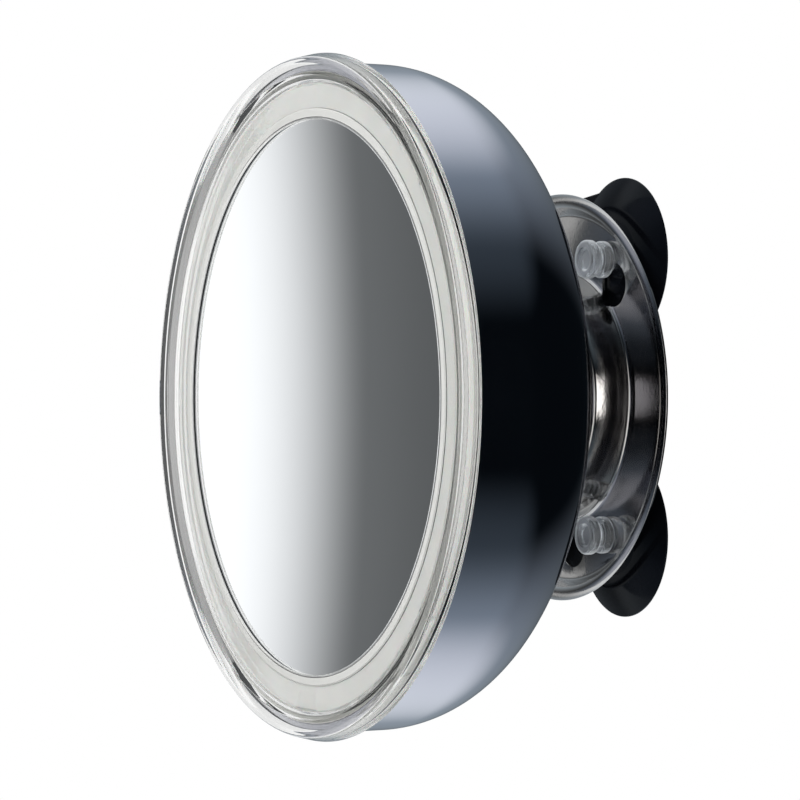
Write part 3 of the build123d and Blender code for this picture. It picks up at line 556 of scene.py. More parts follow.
@dataclass(frozen=True)
class Finish:
    """One finish: its colour, its gloss and the fine unevenness that the real surface shows.

    Attributes:
        name: the material's name.
        colour: linear base colour.
        metallic: 1 for metal.
        rough: roughness where the surface is cleanest.
        worn: how much rougher handling marks are.
        mark_size: size of those marks in millimetres.
        shade: share by which the colour varies.
        shade_size: size of that variation in millimetres.
        grain: height of the fine pattern in millimetres.
        grain_size: size of the fine pattern in millimetres.
        pattern: how the fine pattern runs.
        coat: weight of a clear coat.
        ior: refractive index.
        clear: share of light that passes.
        glow: weight of the light that wanders under the surface.
        tint: colour of the mirror-like reflection at the front.
        shine: how strong that reflection is, 0.5 being plain.
        veil_colour: colour of the second look that parts of the surface may have.
        veil_rough: the roughness of that look.
        veil_clear: the share of light that it lets pass.
    """

    name: str
    colour: Colour
    metallic: float = 0
    rough: float = 0.3
    worn: float = 0.06
    mark_size: float = 12
    shade: float = 0.05
    shade_size: float = 20
    grain: float = 0.004
    grain_size: float = 0.8
    pattern: Pattern = Pattern.PEEL
    coat: float = 0
    ior: float = 1.5
    clear: float = 0
    glow: float = 0
    tint: Colour = (1, 1, 1)
    shine: float = 0.5
    veil_colour: Colour = (0.86, 0.86, 0.84)
    veil_rough: float = 0.6
    veil_clear: float = 0.0

    def build(self) -> bpy.types.Material:
        """Make the material: noise drives the colour, the roughness and the bump.

        Returns:
            The material.
        """
        made = Shader(bpy.data.materials.new(self.name))
        low, high = (
            tuple(min(1.0, part * (1 + side * self.shade)) for part in self.colour)
            for side in (-1, 1)
        )
        colour = made.mixed(made.ranged(made.noise(self.shade_size, SHADE_DETAIL), 0, 1), low, high)
        marks = made.noise(self.mark_size, MARK_DETAIL)
        rough = made.ranged(marks, self.rough, self.rough + self.worn, *MARK_RANGE)
        clear: Socket | float = self.clear
        veil = self.veil(made)
        if veil is not None:
            colour = made.mixed(veil, colour, self.veil_colour)
            rough = made.mixed(veil, rough, self.veil_rough)
            clear = made.mixed(veil, clear, self.veil_clear)
        uneven = {}
        if self.grain:
            uneven["Normal"] = made.add(
                "Bump", Height=self.fine(made), Distance=self.grain * MM)
        skin = made.add(
            "BsdfPrincipled", Base_Color=colour, Roughness=rough, Transmission_Weight=clear,
            Metallic=self.metallic, IOR=self.ior, Specular_IOR_Level=self.shine,
            Specular_Tint=(*self.tint, 1), Coat_Weight=self.coat, Coat_Roughness=COAT_ROUGH,
            Subsurface_Weight=self.glow, Subsurface_Scale=GLOW_DEPTH, **uneven)
        if self.clear:
            pane = made.add("BsdfTransparent", Color=PANE)
            lamp_ray = made.add("LightPath", "Is Shadow Ray")
            skin = made.add("MixShader", Fac=lamp_ray, i1=skin, i2=pane)
        return made.end(skin)

    def veil(self, made: Shader) -> Socket | None:
        """The share of the surface that has its second look, or None where it has only one."""
        return None

    def fine(self, made: Shader) -> Socket:
        """Add the fine pattern.

        Args:
            made: the material's node tree.

        Returns:
            Its height, which goes from 0 to about 1.
        """
        if self.pattern is Pattern.SPECKLE:
            return made.add("TexVoronoi", "Distance", Vector=made.place(),
                            Scale=1 / (self.grain_size * MM))
        stretch = BRUSH if self.pattern is Pattern.BRUSHED else None
        return made.noise(self.grain_size, 2, stretch)


@dataclass(frozen=True)
class Banded(Finish):
    """A finish with its second look in round bands about the mirror's axis.

    Attributes:
        bands: inner and outer radius of each band in millimetres.
        depths: between which depths in millimetres the bands lie.
    """

    bands: tuple[Pair, ...] = ()
    depths: Pair = (0.6, 50.0)

    def veil(self, made: Shader) -> Socket:
        """Tell the bands from the rest by the point's radius and depth.

        Args:
            made: the material's node tree.

        Returns:
            1 in the bands and 0 elsewhere.
        """

        def between(value: Socket, low: float, high: float) -> Socket:
            """1 where the value lies between two lengths in millimetres."""
            over = made.math("GREATER_THAN", value, low * MM)
            return made.math("MULTIPLY", over, made.math("LESS_THAN", value, high * MM))

        radius = made.away(1, 0, 1)
        total = between(radius, *self.bands[0])
        for band in self.bands[1:]:
            total = made.math("ADD", total, between(radius, *band))
        depth = made.add("SeparateXYZ", "Y", Vector=made.place())
        inside = between(depth, *(end - WALL_DEPTH for end in self.depths))
        return made.math("MULTIPLY", total, inside)


@dataclass(frozen=True)
class MilkyWithPaintedRim(Finish):
    """Soft clear plastic, a little milky face on, that turns whiter and less clear towards its
    edges as they turn from the camera: a painted rim sheen.

    Attributes:
        face_on: the milky share where it is seen face on.
        slants: between which slants the painted rim sheen grows, from 0 face on to 1 edge on.
    """

    face_on: float = 0.2
    slants: Pair = (0.36, 0.85)

    def veil(self, made: Shader) -> Socket:
        """The milky share, which grows to 1 at the edges as a painted rim sheen."""
        slant = made.add("LayerWeight", "Facing", Blend=0.5)
        return made.ranged(slant, self.face_on, 1, *self.slants)


FINISHES = (
    Banded("clear_acrylic", (0.985, 0.987, 0.98), rough=0.015, worn=0.03, mark_size=9, shade=0.01,
           grain=0.0012, grain_size=5, ior=1.49, clear=1, bands=((81.5, 84.0), (94.2, 95.3))),
    Finish("white_plastic", (0.84, 0.84, 0.82), rough=0.38, worn=0.1, shade=0.03, shade_size=9,
           grain=0.003, grain_size=0.5, glow=0.15),
    Finish("mirror", (0.93, 0.94, 0.95), metallic=1, rough=0.0, worn=0.012, mark_size=22,
           shade=0.006, grain=0),
    Banded("black_seal", (0.012, 0.012, 0.013), rough=0.5, worn=0.15, grain=0.01, grain_size=0.4,
           veil_colour=(0.36, 0.37, 0.37), bands=((0.0, 81.25),), depths=(0.0, 1.45)),
    Finish("grey_plastic", (0.30, 0.30, 0.31), rough=0.45, worn=0.12, grain=0.01,
           grain_size=0.35, pattern=Pattern.SPECKLE),
    Finish("steel", (0.60, 0.60, 0.61), metallic=1, rough=0.22, worn=0.2, mark_size=4,
           grain=0.003, grain_size=0.3, pattern=Pattern.BRUSHED),
    Finish("circuit_board", (0.03, 0.2, 0.08), rough=0.3, worn=0.1, coat=0.4, shade=0.15,
           shade_size=1.5, grain=0.01, grain_size=1.2),
    Finish("lamp_resin", (0.95, 0.83, 0.35), rough=0.25, shade=0.08, shade_size=1.5,
           grain=0.004, grain_size=0.4, glow=0.3),
    Finish("black_ceramic", (0.03, 0.03, 0.032), rough=0.5, shade=0.2, shade_size=0.8,
           grain=0.004, grain_size=0.2, pattern=Pattern.SPECKLE),
    Finish("dark_chrome_shell", (0.36, 0.37, 0.42), metallic=1, rough=0.07, worn=0.03,
           mark_size=30, shade=0.02, shade_size=45, grain=0.0006, grain_size=6, coat=0.15),
    Finish("dark_chrome_button", (0.33, 0.34, 0.38), metallic=1, rough=0.16, worn=0.1,
           mark_size=2.5, shade=0.03, shade_size=5, grain=0.002, grain_size=0.5),
    Finish("black_plastic", (0.018, 0.018, 0.019), rough=0.42, worn=0.15, grain=0.012,
           grain_size=0.4, pattern=Pattern.SPECKLE),
    Finish("cell_can", (0.10, 0.11, 0.13), metallic=0.2, rough=0.25, worn=0.15, mark_size=5,
           coat=0.5, grain=0.003, grain_size=0.5),
    Finish("lead_sleeve", (0.42, 0.012, 0.01), rough=0.4, worn=0.1, shade=0.1, shade_size=3,
           grain=0.006, grain_size=0.5),
    Finish("chrome_plate", (0.43, 0.42, 0.41), metallic=1, rough=0.1, worn=0.06, mark_size=7,
           shade=0.03, shade_size=9, grain=0.016, grain_size=0.9),
    Finish("nylon", (0.82, 0.81, 0.76), rough=0.4, worn=0.12, shade=0.04, shade_size=4,
           grain=0.006, grain_size=0.6, glow=0.2),
    Finish("cup_rubber", (0.003, 0.0035, 0.005), rough=0.09, worn=0.1, mark_size=8, shade=0.2,
           shade_size=10, grain=0.002, grain_size=2.5, tint=(0.6, 0.8, 1), shine=0.07),
    # the plugs' whiter, less clear edges, set by the angle they are seen at, are a painted rim
    # sheen
    MilkyWithPaintedRim("clear_vinyl", (0.88, 0.93, 0.97), rough=0.08, worn=0.1, mark_size=2, shade=0.03,
          shade_size=2, grain=0.008, grain_size=1.2, ior=1.42, clear=1,
          veil_colour=(0.93, 0.96, 1.0), veil_rough=0.2, veil_clear=0.1),
)


class Bench:
    """Gives each piece its finish, its body and its slot, and says so in the log."""

    def __init__(self) -> None:
        """Make every finish once and note which slot and body each CAD node takes."""
        self.materials = {finish.name: finish.build() for finish in FINISHES}
        record = frame["record"]
        self.slots = {part["node"]: part["material_slot"] for part in record["subparts"]}
        bodies = record["behaviour"]["bodies"]
        self.bodies = {node: body for body, nodes in bodies.items() for node in nodes}
        self.left = set(self.slots)

    def dress(self, thing: Thing, node: str) -> None:
        """Put a made piece in the place of a CAD node, whose body and slot it takes.

        Args:
            thing: the made piece.
            node: the CAD node.
        """
        slot = self.slots[node]
        thing.data.materials.clear()
        thing.data.materials.append(self.materials[slot])
        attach(thing, self.bodies[node])
        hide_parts(node)
        self.left.remove(node)
        log.info("%s: %d faces, %s, for %s", thing.name, len(thing.data.polygons), slot, node)

    def finish_rest(self) -> None:
        """Give the CAD nodes that stay their finish in their material slots."""
        for node in sorted(self.left):
            thing = frame["nodes"][node]
            if not thing.material_slots:
                thing.data.materials.append(None)
            for slot in thing.material_slots:
                slot.material = self.materials[self.slots[node]]
            log.info("%s: kept, %s", node, self.slots[node])


# Sub-assemblies. Rows of three are two coordinates and the radius of the corner there.


@dataclass
class LightRing:
    """Clear ring with two snap tongues, and the white diffuser under it with its notches."""

    outline: Rows = (
        (80.7, 0.0, 0.3), (83.9, 0.0, 0.5), (91.2, -0.7, 0.8), (93.6, -2.2, 0.9), (96.9, -3.0, 1.6),
        (98.7, -2.7, 1.0), (100.0, 2.5, 0.25), (95.2, 2.5, 0.1), (95.2, 7.0, 0.2), (93.4, 7.0, 0.2),
        (93.4, 1.4, 0.25), (83.6, 1.4, 0.15), (83.6, 0.8, 0.15), (80.7, 0.8, 0.2),
    )
    tongue: Rows = (
        (94.0, 6.5), (95.2, 6.5), (95.2, 10.4), (95.9, 10.4), (95.2, 12.0), (94.0, 12.0),
    )
    tongue_wide: float = 14.0
    tongue_edge: float = 0.12
    diffuser: Rows = (
        (84.1, 1.6), (91.2, 1.6), (92.9, 3.4), (92.9, 6.0), (91.9, 6.0), (91.9, 3.8), (90.8, 2.8),
        (86.5, 2.8), (86.5, 6.0), (85.5, 6.0), (85.5, 2.8), (84.1, 2.8),
    )
    diffuser_edge: float = 0.15
    edge_r: float = 92.9
    notch_depths: Pair = (0.6, 3.4)
    long_notch: Pair = (14.0, 2.2)      # width and depth
    notch_corner: float = 0.4
    notch_edge: float = 0.02
    cut_edge: float = 0.12
    round_notches: tuple[Pair, ...] = (  # angle in degrees and radius
        (180, 3.6), (40, 1.6), (140, 1.6), (220, 1.6), (320, 1.6),
    )

    def ring(self) -> Thing:
        """Turn the clear ring and add its tongues.

        Returns:
            The ring.
        """
        made = turned("acrylic_ring", profile(self.outline))
        half = self.tongue_wide / 2 / self.tongue[0][0]
        for side in (-1, 1):
            angle = side * math.pi / 2 + np.linspace(-half, half, 13)
            tongue = capped("tongue", placed(lathe(rounded(self.tongue, self.tongue_edge), angle)))
            made = joined(made, tongue, "UNION")
        return made

    def band(self) -> Thing:
        """Turn the white diffuser and cut its notches.

        Returns:
            The diffuser.
        """
        made = turned("diffuser_band", rounded(self.diffuser, self.diffuser_edge))
        wide, deep = self.long_notch
        for side in (-1, 1):
            z = sorted((side * (self.edge_r - deep), side * (self.edge_r + PAST)))
            notch = block("notch", (-wide / 2, wide / 2), self.notch_depths, z,
                          self.notch_corner, self.notch_edge)
            made = joined(made, notch)
        for degrees, radius in self.round_notches:
            spot = spot_at(self.edge_r, degrees)
            made = joined(made, rod("notch", radius, *self.notch_depths, spot))
        return bevelled(made, self.cut_edge)

    def build(self, bench: Bench) -> None:
        """Make and dress both rings."""
        bench.dress(self.ring(), "light_ring")
        bench.dress(self.band(), "diffuser_ring")


@dataclass
class Glass:
    """Concave mirror and the black angle ring round it."""

    radius: float = 83.0
    thick: float = 3.0
    front: float = 1.3
    sphere: float = 620.0
    ground: float = 0.3
    gasket: Rows = (
        (81.1, 0.85), (83.45, 0.85), (83.45, 4.3), (83.05, 4.3), (83.05, 1.3), (81.1, 1.3),
    )
    gasket_edge: float = 0.12
    rings: int = 24
    rim_wide: float = 2.0      # how far from the edge the last ring of points lies

    def bowl(self, radius: Array) -> Array:
        """Depth of the spherical face: R - sqrt(R^2 - r^2), taken from the edge inwards."""
        edge = self.sphere - math.sqrt(self.sphere**2 - self.radius**2)
        return self.front + edge - (self.sphere - np.sqrt(self.sphere**2 - radius**2))

    def plate(self) -> Thing:
        """Turn the meniscus, with its edges ground.

        Returns:
            The glass.
        """
        inner = np.linspace(0, self.radius - self.rim_wide, self.rings)
        near = np.stack([inner, self.bowl(inner)], -1)
        far = near[::-1] + (0, self.thick)
        edge = float(self.bowl(np.array(self.radius)))
        rim = corners([(self.radius, edge), (self.radius, edge + self.thick)], self.ground)
        rows = np.concatenate([corners(near), rim, corners(far)])
        return turned("mirror_plate", profile(rows), segments=256)

    def build(self, bench: Bench) -> None:
        """Make and dress the glass and its gasket.

        Args:
            bench: what gives the pieces their finish, body and slot.
        """
        bench.dress(self.plate(), "mirror_glass")
        gasket = turned("edge_gasket", rounded(self.gasket, self.gasket_edge), segments=256)
        bench.dress(gasket, "mirror_gasket")


@dataclass
class Shell:
    """Rear shell: cylinder, shoulder and crown, with the battery opening and what closes it."""

    radius: float = 97.4
    front: float = 2.55
    band_end: float = 19.55
    shoulder: float = 32.45
    depth: float = 69.5
    beyond: float = 75.0
    wall: float = 2.0
    pad_r: float = 23.0
    pad_depth: float = 64.0
    land_r: float = 9.5
    neck_r: float = 3.7
    lip_edge: float = 0.35
    land_edge: float = 0.2
    neck_edge: float = 0.3
    post_r: float = 3.5
    post_circle: float = 60.0
    post_inset: float = 0.9    # how far inside the outer face a post ends
    tray_floor: float = 12.98
    screw_r: float = 1.5
    screw_deep: float = 9.2
    screw_past: float = 1.0
    button_depth: float = 20.5
    button_hole: float = 4.6
    hole_past: float = 3.0
    boss_r: float = 9.5
    boss_root: float = -95.2
    boss_bore: float = 6.0
    bore_end: float = -95.0
    boss_face: float = -88.5
    opening: tuple[float, float, float] = (27.0, -78.4, -50.0)     # half width, low and high Z
    opening_corner: float = 1.2
    door: tuple[float, float, float] = (26.75, -78.15, -51.9)      # the same
    door_corner: float = 1.0
    hinge_depth: float = 58.719
    barrel_r: float = 1.7
    barrel_half: float = 12.7
    pin_half: float = 15.2
    pin_r: float = 0.8
    pin_gap: float = 0.2
    ear: Pair = (12.9, 16.6)   # X of its two faces
    ear_z: Pair = (-53.8, -47.6)
    ear_front: float = 56.719
    ear_corner: float = 0.2
    ear_gap: Pair = (0.4, 1.0)     # between an ear and the door, across and below
    ear_gap_corner: float = 0.3
    cell_depth: float = 22.4
    edge: float = 0.15

    def curve(self, inset: float) -> Array:
        """Outline of the bowl, that much inside the outer face, from its front to the axis.

        A line at the radius runs to the shoulder's arc, which is tangent to it and to the
        crown's arc, whose middle lies on the axis.

        Args:
            inset: how far inside the outer face the outline lies.

        Returns:
            Rows of radius and depth.
        """
        inner = self.radius - self.shoulder
        drop = self.depth - self.band_end
        crown = (inner**2 + drop**2 - self.shoulder**2) / (2 * (drop - self.shoulder))
        middle = self.depth - crown
        span = math.hypot(inner, self.band_end - middle)
        tangent = math.degrees(math.asin(inner / span))
        line = np.linspace(self.front, self.band_end, 8, endpoint=False)
        band = np.stack([np.full(len(line), self.radius - inset), line], -1)
        bend = arc_points((inner, self.band_end), self.shoulder - inset, 90, tangent, 28)
        roof = arc_points((0, middle), crown - inset, tangent, 0, 26)[1:]
        return np.concatenate([band, bend, roof])

    def body(self, inset: float) -> Thing:
        """The whole body inside a face, without a hollow."""
        return turned("body", np.concatenate([self.curve(inset), [(0, self.front)]]))

    def across(self, name: str, radius: float, low: float, high: float, middle: Pair,
               segments: int = 64) -> Thing:
        """Round bar from one X to another at a depth and a Z."""
        return rod(name, radius, low, high, middle, Axis.ACROSS, segments)

    def bowl(self) -> Thing:
        """Turn the bowl with its pad for the neck, then work on it part by part.

        Returns:
            The whole rear shell.
        """
        outer, inner = self.curve(0), self.curve(self.wall)[::-1]
        land = float(np.interp(self.land_r, outer[::-1, 0], outer[::-1, 1]))
        rows = np.concatenate([
            corners(outer[outer[:, 0] > self.land_r]),
            [(self.land_r, land, self.land_edge), (self.neck_r, land, self.neck_edge),
             (self.neck_r, self.pad_depth, self.neck_edge),
             (self.pad_r, self.pad_depth, self.neck_edge)],
            corners(inner[inner[:, 0] > self.pad_r]),
        ])
        rows[[0, -1], 2] = self.lip_edge
        made = turned("shell_bowl", profile(rows))
        for work in (self.add_posts, self.add_boss, self.add_opening):
            made = work(made)
        return bevelled(made, self.edge)

    def add_posts(self, made: Thing) -> Thing:
        """Add the four posts that the tray is screwed to, kept inside the crown.

        Args:
            made: the bowl so far.

        Returns:
            The bowl with its posts.
        """
        for step in range(4):
            spot = spot_at(self.post_circle, 45 + 90 * step)
            post = rod("post", self.post_r, self.tray_floor, self.depth, spot)
            post = joined(post, self.body(self.post_inset), "INTERSECT")
            bore = rod("bore", self.screw_r, self.tray_floor - self.screw_past,
                       self.tray_floor + self.screw_deep, spot, segments=24)
            made = joined(joined(made, post, "UNION"), bore)
        return made

    def add_boss(self, made: Thing) -> Thing:
        """Add the boss behind the button, then bore it and the wall.

        Args:
            made: the bowl so far.

        Returns:
            The bowl with its boss.
        """
        spot, face = (self.button_depth, 0), self.boss_face
        boss = self.across("boss", self.boss_r, self.boss_root, face, spot, 48)
        hole = self.across("hole", self.button_hole, -self.radius - self.hole_past, face, spot)
        bore = self.across("bore", self.boss_bore, self.bore_end, face + PAST, spot)
        return joined(joined(joined(made, boss, "UNION"), hole), bore)

    def add_opening(self, made: Thing) -> Thing:
        """Cut the battery opening, then add two ears for the hinge pin and bore them.

        Args:
            made: the bowl so far.

        Returns:
            The bowl with its opening and ears.
        """
        half, *z = self.opening
        hollow = block("opening", (-half, half), (self.cell_depth, self.beyond), z,
                       self.opening_corner)
        made = joined(made, hollow)
        for side in (-1, 1):
            x = sorted((side * self.ear[0], side * self.ear[1]))
            ear = block("ear", x, (self.ear_front, self.depth), self.ear_z, self.ear_corner)
            made = joined(made, joined(ear, self.body(0), "INTERSECT"), "UNION")
        end = self.pin_half + self.pin_gap
        pin = (self.hinge_depth, self.door[2])
        return joined(made, self.across("hole", self.pin_r + CLEARANCE, -end, end, pin, 32))

    def flap(self) -> Thing:
        """Cut the battery door from the crown's wall, add its hinge barrel and bore it.

        Returns:
            The door.
        """
        half, low, high = self.door
        made = turned("battery_flap", np.concatenate([self.curve(0), self.curve(self.wall)[::-1]]))
        deep = (self.cell_depth, self.beyond)
        panel = block("panel", (-half, half), deep, (low, high), self.door_corner)
        made = joined(made, panel, "INTERSECT")
        for side in (-1, 1):
            x = sorted((side * self.barrel_half, side * (self.ear[1] + self.ear_gap[0])))
            z = (self.ear_z[0] - self.ear_gap[1], high + PAST)
            made = joined(made, block("notch", x, deep, z, self.ear_gap_corner))
        end, pin = self.barrel_half, (self.hinge_depth, high)
        made = joined(made, self.across("barrel", self.barrel_r, -end, end, pin), "UNION")
        hole = self.across("hole", self.pin_r + CLEARANCE, -end - PAST, end + PAST, pin, 32)
        return bevelled(joined(made, hole), self.edge)

    def build(self, bench: Bench) -> None:
        """Make and dress the shell, the door and its pin.

        Args:
            bench: what gives the pieces their finish, body and slot.
        """
        bench.dress(self.bowl(), "rear_shell")
        bench.dress(self.flap(), "battery_door")
        bench.dress(copied("door_pin", "flap_pin", self.edge), "door_pin")


@dataclass
class PowerButton:
    """Round button on the shell's left side."""

    outline: Rows = (
        (0, -98.65, 0), (1.2, -98.68, 0), (2.4, -98.76, 0), (3.3, -98.9, 0.3), (4.4, -98.9, 0.6),
        (4.4, -94.2, 0.1), (5.6, -94.2, 0.2), (5.6, -93.0, 0.2), (2.0, -93.0, 0.1),
        (2.0, -92.6, 0.2), (0, -92.6, 0),
    )
    depth: float = 20.5

    def build(self, bench: Bench) -> None:
        """Make and dress the button."""
        made = turned("push_button", profile(self.outline), Axis.ACROSS, (self.depth, 0), 96)
        bench.dress(made, "power_button")


@dataclass
class WallPlate:
    """Stamped disc with a hub, a channel, a rolled rim, three keyholes and three rivet holes."""

    path: Rows = (
        (9.0, 74.6, 0), (20.0, 74.6, 3.0), (34.6, 76.6, 1.6), (36.8, 88.9, 2.2), (55.4, 88.9, 1.6),
    )
    rim: tuple[float, float, float] = (59.6, 87.35, 2.4)   # the roll's middle, and its radius
    rim_turn: Pair = (228, 140)    # where the roll starts and ends, in degrees
    beyond: float = 200.0
    sheet: float = 1.2
    edge: float = 0.35
    hole_edge: float = 0.22
    narrow_r: float = 3.45
    wide_r: float = 6.5
    keyhole_depths: Pair = (84.0, 91.5)
    circle: float = 47.2
    # Angle of each keyhole's narrow end, and how far its wide end lies from there in X and Z
    cups: Rows = ((60, 3.9, -7.6), (-60, -19.5, -4.0), (180, 2.0, -11.0))
    rivet_circle: float = 14.6
    rivet_r: float = 1.65
    rivet_depths: Pair = (73, 78)

    def middle_line(self) -> Array:
        """The sheet's middle from the hub's hole to the rim: runs and bends, then the rim's arc.

        Two corners far beyond the wall close it into an outline, and go again.

        Returns:
            Rows of radius and depth.
        """
        roll = arc_points(self.rim[:2], self.rim[2], *self.rim_turn, 14)
        far = corners([(roll[-1, 0], self.beyond), (self.path[0][0], self.beyond)])
        line = profile(np.concatenate([self.path, corners(roll), far]))
        return line[line[:, 1] < WALL_DEPTH]

    def disc(self) -> Thing:
        """Offset the line to both sides by half the sheet, turn it and cut its holes.

        Returns:
            The plate.
        """
        line = self.middle_line()
        tangent = np.gradient(line, axis=0)
        tangent /= np.linalg.norm(tangent, axis=1, keepdims=True)
        side = np.stack([tangent[:, 1], -tangent[:, 0]], -1) * self.sheet / 2
        rows = corners(np.concatenate([line + side, (line - side)[::-1]]))
        rows[[0, len(line) - 1, len(line), -1], 2] = self.edge
        made = turned("wall_disc", profile(rows))
        for degrees, x, z in self.cups:
            made = joined(made, self.keyhole(degrees, x, z))
        for step in range(3):
            spot = spot_at(self.rivet_circle, 90 + 120 * step)
            bore = rod("bore", self.rivet_r, *self.rivet_depths, spot, segments=32)
            made = joined(made, bore)
        return bevelled(made, self.hole_edge, 3)

    def keyhole(self, degrees: float, x: float, z: float) -> Thing:
        """Prism of a keyhole: a wide arc, two straight sides and a narrow half circle.

        Args:
            degrees: where its narrow end lies round the axis.
            x: how far its wide end lies from there along X.
            z: the same along Z.

        Returns:
            The prism that cuts it.
        """
        narrow = np.array(spot_at(self.circle, degrees))
        wide = narrow + (x, z)
        along = (narrow - wide) / math.hypot(x, z)
        across = np.array([-along[1], along[0]])
        opening = math.asin(self.narrow_r / self.wide_r)
        outline = []
        for middle, radius, start, end, count in (
            (wide, self.wide_r, opening, TURN - opening, 56),
            (narrow, self.narrow_r, -math.pi / 2, math.pi / 2, 28),
        ):
            turn = np.linspace(start, end, count)[:, None]
            outline.append(middle + radius * (np.cos(turn) * along + np.sin(turn) * across))
        return prism("keyhole", wide, np.concatenate(outline), self.keyhole_depths)

    def build(self, bench: Bench) -> None:
        """Make and dress the plate."""
        bench.dress(self.disc(), "base_plate")


@dataclass
class Pivot:
    """Ball stud, collar, socket and what holds the socket on the plate."""

    ball_r: float = 8.0
    ball_depth: float = 80.0
    neck_r: float = 3.5
    neck_edge: float = 0.3
    stud: Rows = (
        (0, 55.5, 0), (3.5, 55.5, 0.4), (3.5, 70.52, 0.15), (5.5, 70.52, 0.25), (5.5, 71.32, 0.25),
        (3.5, 71.32, 0.3),
    )
    collar: Rows = (
        (3.55, 69.27, 0.1), (9.0, 69.27, 0.1), (9.0, 70.47, 0.4), (3.55, 70.47, 0.1),
    )

    def ball_stud(self) -> Thing:
        """Turn the stud: shank and flange, then the ball as an arc to the axis.

        Returns:
            The stud.
        """
        meet = math.degrees(math.asin(self.neck_r / self.ball_r))
        ball = corners(arc_points((0, self.ball_depth), self.ball_r, 180 - meet, 0, 40))
        ball[0, 2] = self.neck_edge
        return turned("stud_and_ball", profile([*self.stud, *ball]), segments=128)

    def build(self, bench: Bench) -> None:
        """Make and dress the pivot's pieces.

        Args:
            bench: what gives the pieces their finish, body and slot.
        """
        bench.dress(self.ball_stud(), "ball_stud")
        bench.dress(turned("stud_collar", profile(self.collar), segments=128), "neck_collar")
        for node, name, edge in (
            ("socket_housing", "socket_cup", 0.2),
            ("socket_cap", "socket_plug", 0.2),
            ("socket_rivets", "rivet_set", 0.25),
        ):
            bench.dress(copied(node, name, edge), node)


@dataclass
class SuctionCup:
    """One rubber cup with its pull tab, and the clear plug that holds it."""

    name: str
    angle: float
    tab_angle: float
    circle: float = 47.2
    head: Rows = ((0, 89.7, 0), (8.5, 89.7, 0.5), (12.0, 90.6, 0.8))
    rim: Pair = (24.5, 93.6)
    rim_edge: float = 0.25
    lip_in: float = 22.7
    lip_edge: float = 0.2
    hollow: Pair = (8.0, 92.4)
    bulge: float = 0.5
    plug: Rows = (
        (0, 81.6, 0), (3.0, 81.6, 0.5), (3.4, 80.2, 0.5), (5.75, 80.2, 0.9), (5.75, 83.2, 0.9),
        (3.8, 83.2, 0.4), (3.8, 85.1, 0.4), (5.5, 85.1, 0.8), (5.5, 87.9, 0.8), (3.2, 87.9, 0.3),
        (3.2, 91.9, 0.3), (0, 91.9, 0),
    )
    # Radius of the tab's root, how far its tip's middle lies out, the tip's radius, thickness
    tab: tuple[float, float, float, float] = (22.0, 32.0, 3.0, 0.8)
    tab_start: float = 23.1
    tab_least: float = 0.3     # how far past its start the tab's sides end
    tab_edge: float = 0.25
    off_wall: float = 0.05

    def middle(self) -> Pair:
        """X and Z of the cup's middle."""
        return spot_at(self.circle, self.angle)

    def dish(self) -> Thing:
        """Turn the cup; both faces of its skirt bulge by a parabola between their ends.

        Returns:
            The cup with its tab.
        """
        share = np.linspace(0, 1, 16)[1:-1, None]
        swell = 4 * share * (1 - share) * np.array([0, -self.bulge])
        start, rim = np.array(self.head[-1][:2]), np.array(self.rim)
        lip, roof = np.array([self.lip_in, WALL_DEPTH]), np.array(self.hollow)
        rows = np.concatenate([
            self.head, corners(start + (rim - start) * share + swell),
            [(*rim, self.rim_edge), (rim[0], WALL_DEPTH, self.rim_edge), (*lip, self.lip_edge)],
            corners(lip + (roof - lip) * share + swell), [(*roof, 0), (0, roof[1], 0)],
        ])
        made = turned(f"cup_{self.name}", profile(rows), middle=self.middle(), segments=192)
        return joined(made, self.pull_tab(), "UNION")

    def pull_tab(self) -> Thing:
        """Flat tab whose sides are tangents to a circle inside the rim, with a round tip.

        Seen from the cup's middle at an angle p from the tab's own line, its edge lies at
        reach cos p + sqrt(tip^2 - reach^2 sin^2 p) on the tip and at root / cos(lean - p) on a
        side, where cos(lean) = (root - tip) / reach.

        Returns:
            The tab.
        """
        root, reach, tip, thick = self.tab
        lean = math.acos((root - tip) / reach)
        meet = math.atan2(tip * math.sin(lean), reach + tip * math.cos(lean))
        most = lean - math.acos(root / (self.tab_start + self.tab_least))
        spot = np.concatenate([np.linspace(0, meet, 9), np.linspace(meet, most, 12)[1:]])
        on_tip = np.sqrt(np.maximum(tip**2 - (reach * np.sin(spot)) ** 2, 0))
        edge = np.where(spot <= meet, reach * np.cos(spot) + on_tip, root / np.cos(lean - spot))
        spot, edge = (
            np.concatenate([sign * half[:0:-1], half]) for sign, half in ((-1, spot), (1, edge))
        )
        low, high = WALL_DEPTH - thick, WALL_DEPTH - self.off_wall
        inset, lift = soft_edge(low, high, self.tab_edge)
        ends = np.full((1, len(edge)), self.tab_start)
        radius = np.concatenate([ends, edge - inset[:, None], ends])
        lift = np.array([low, *lift, high])[:, None] + 0 * radius
        angle = spot + math.radians(self.tab_angle)
        x, z = self.middle()
        flat = np.stack([x + radius * np.cos(angle), z + radius * np.sin(angle), lift], -1)
        return capped("tab", placed(flat))

    def build(self, bench: Bench) -> None:
        """Make and dress the cup and its plug.

        Args:
            bench: what gives the pieces their finish, body and slot.
        """
        bench.dress(self.dish(), f"suction_cup_{self.name}")
        plug = turned(f"plug_{self.name}", profile(self.plug), middle=self.middle(), segments=96)
        bench.dress(plug, f"cup_plug_{self.name}")


# Studio


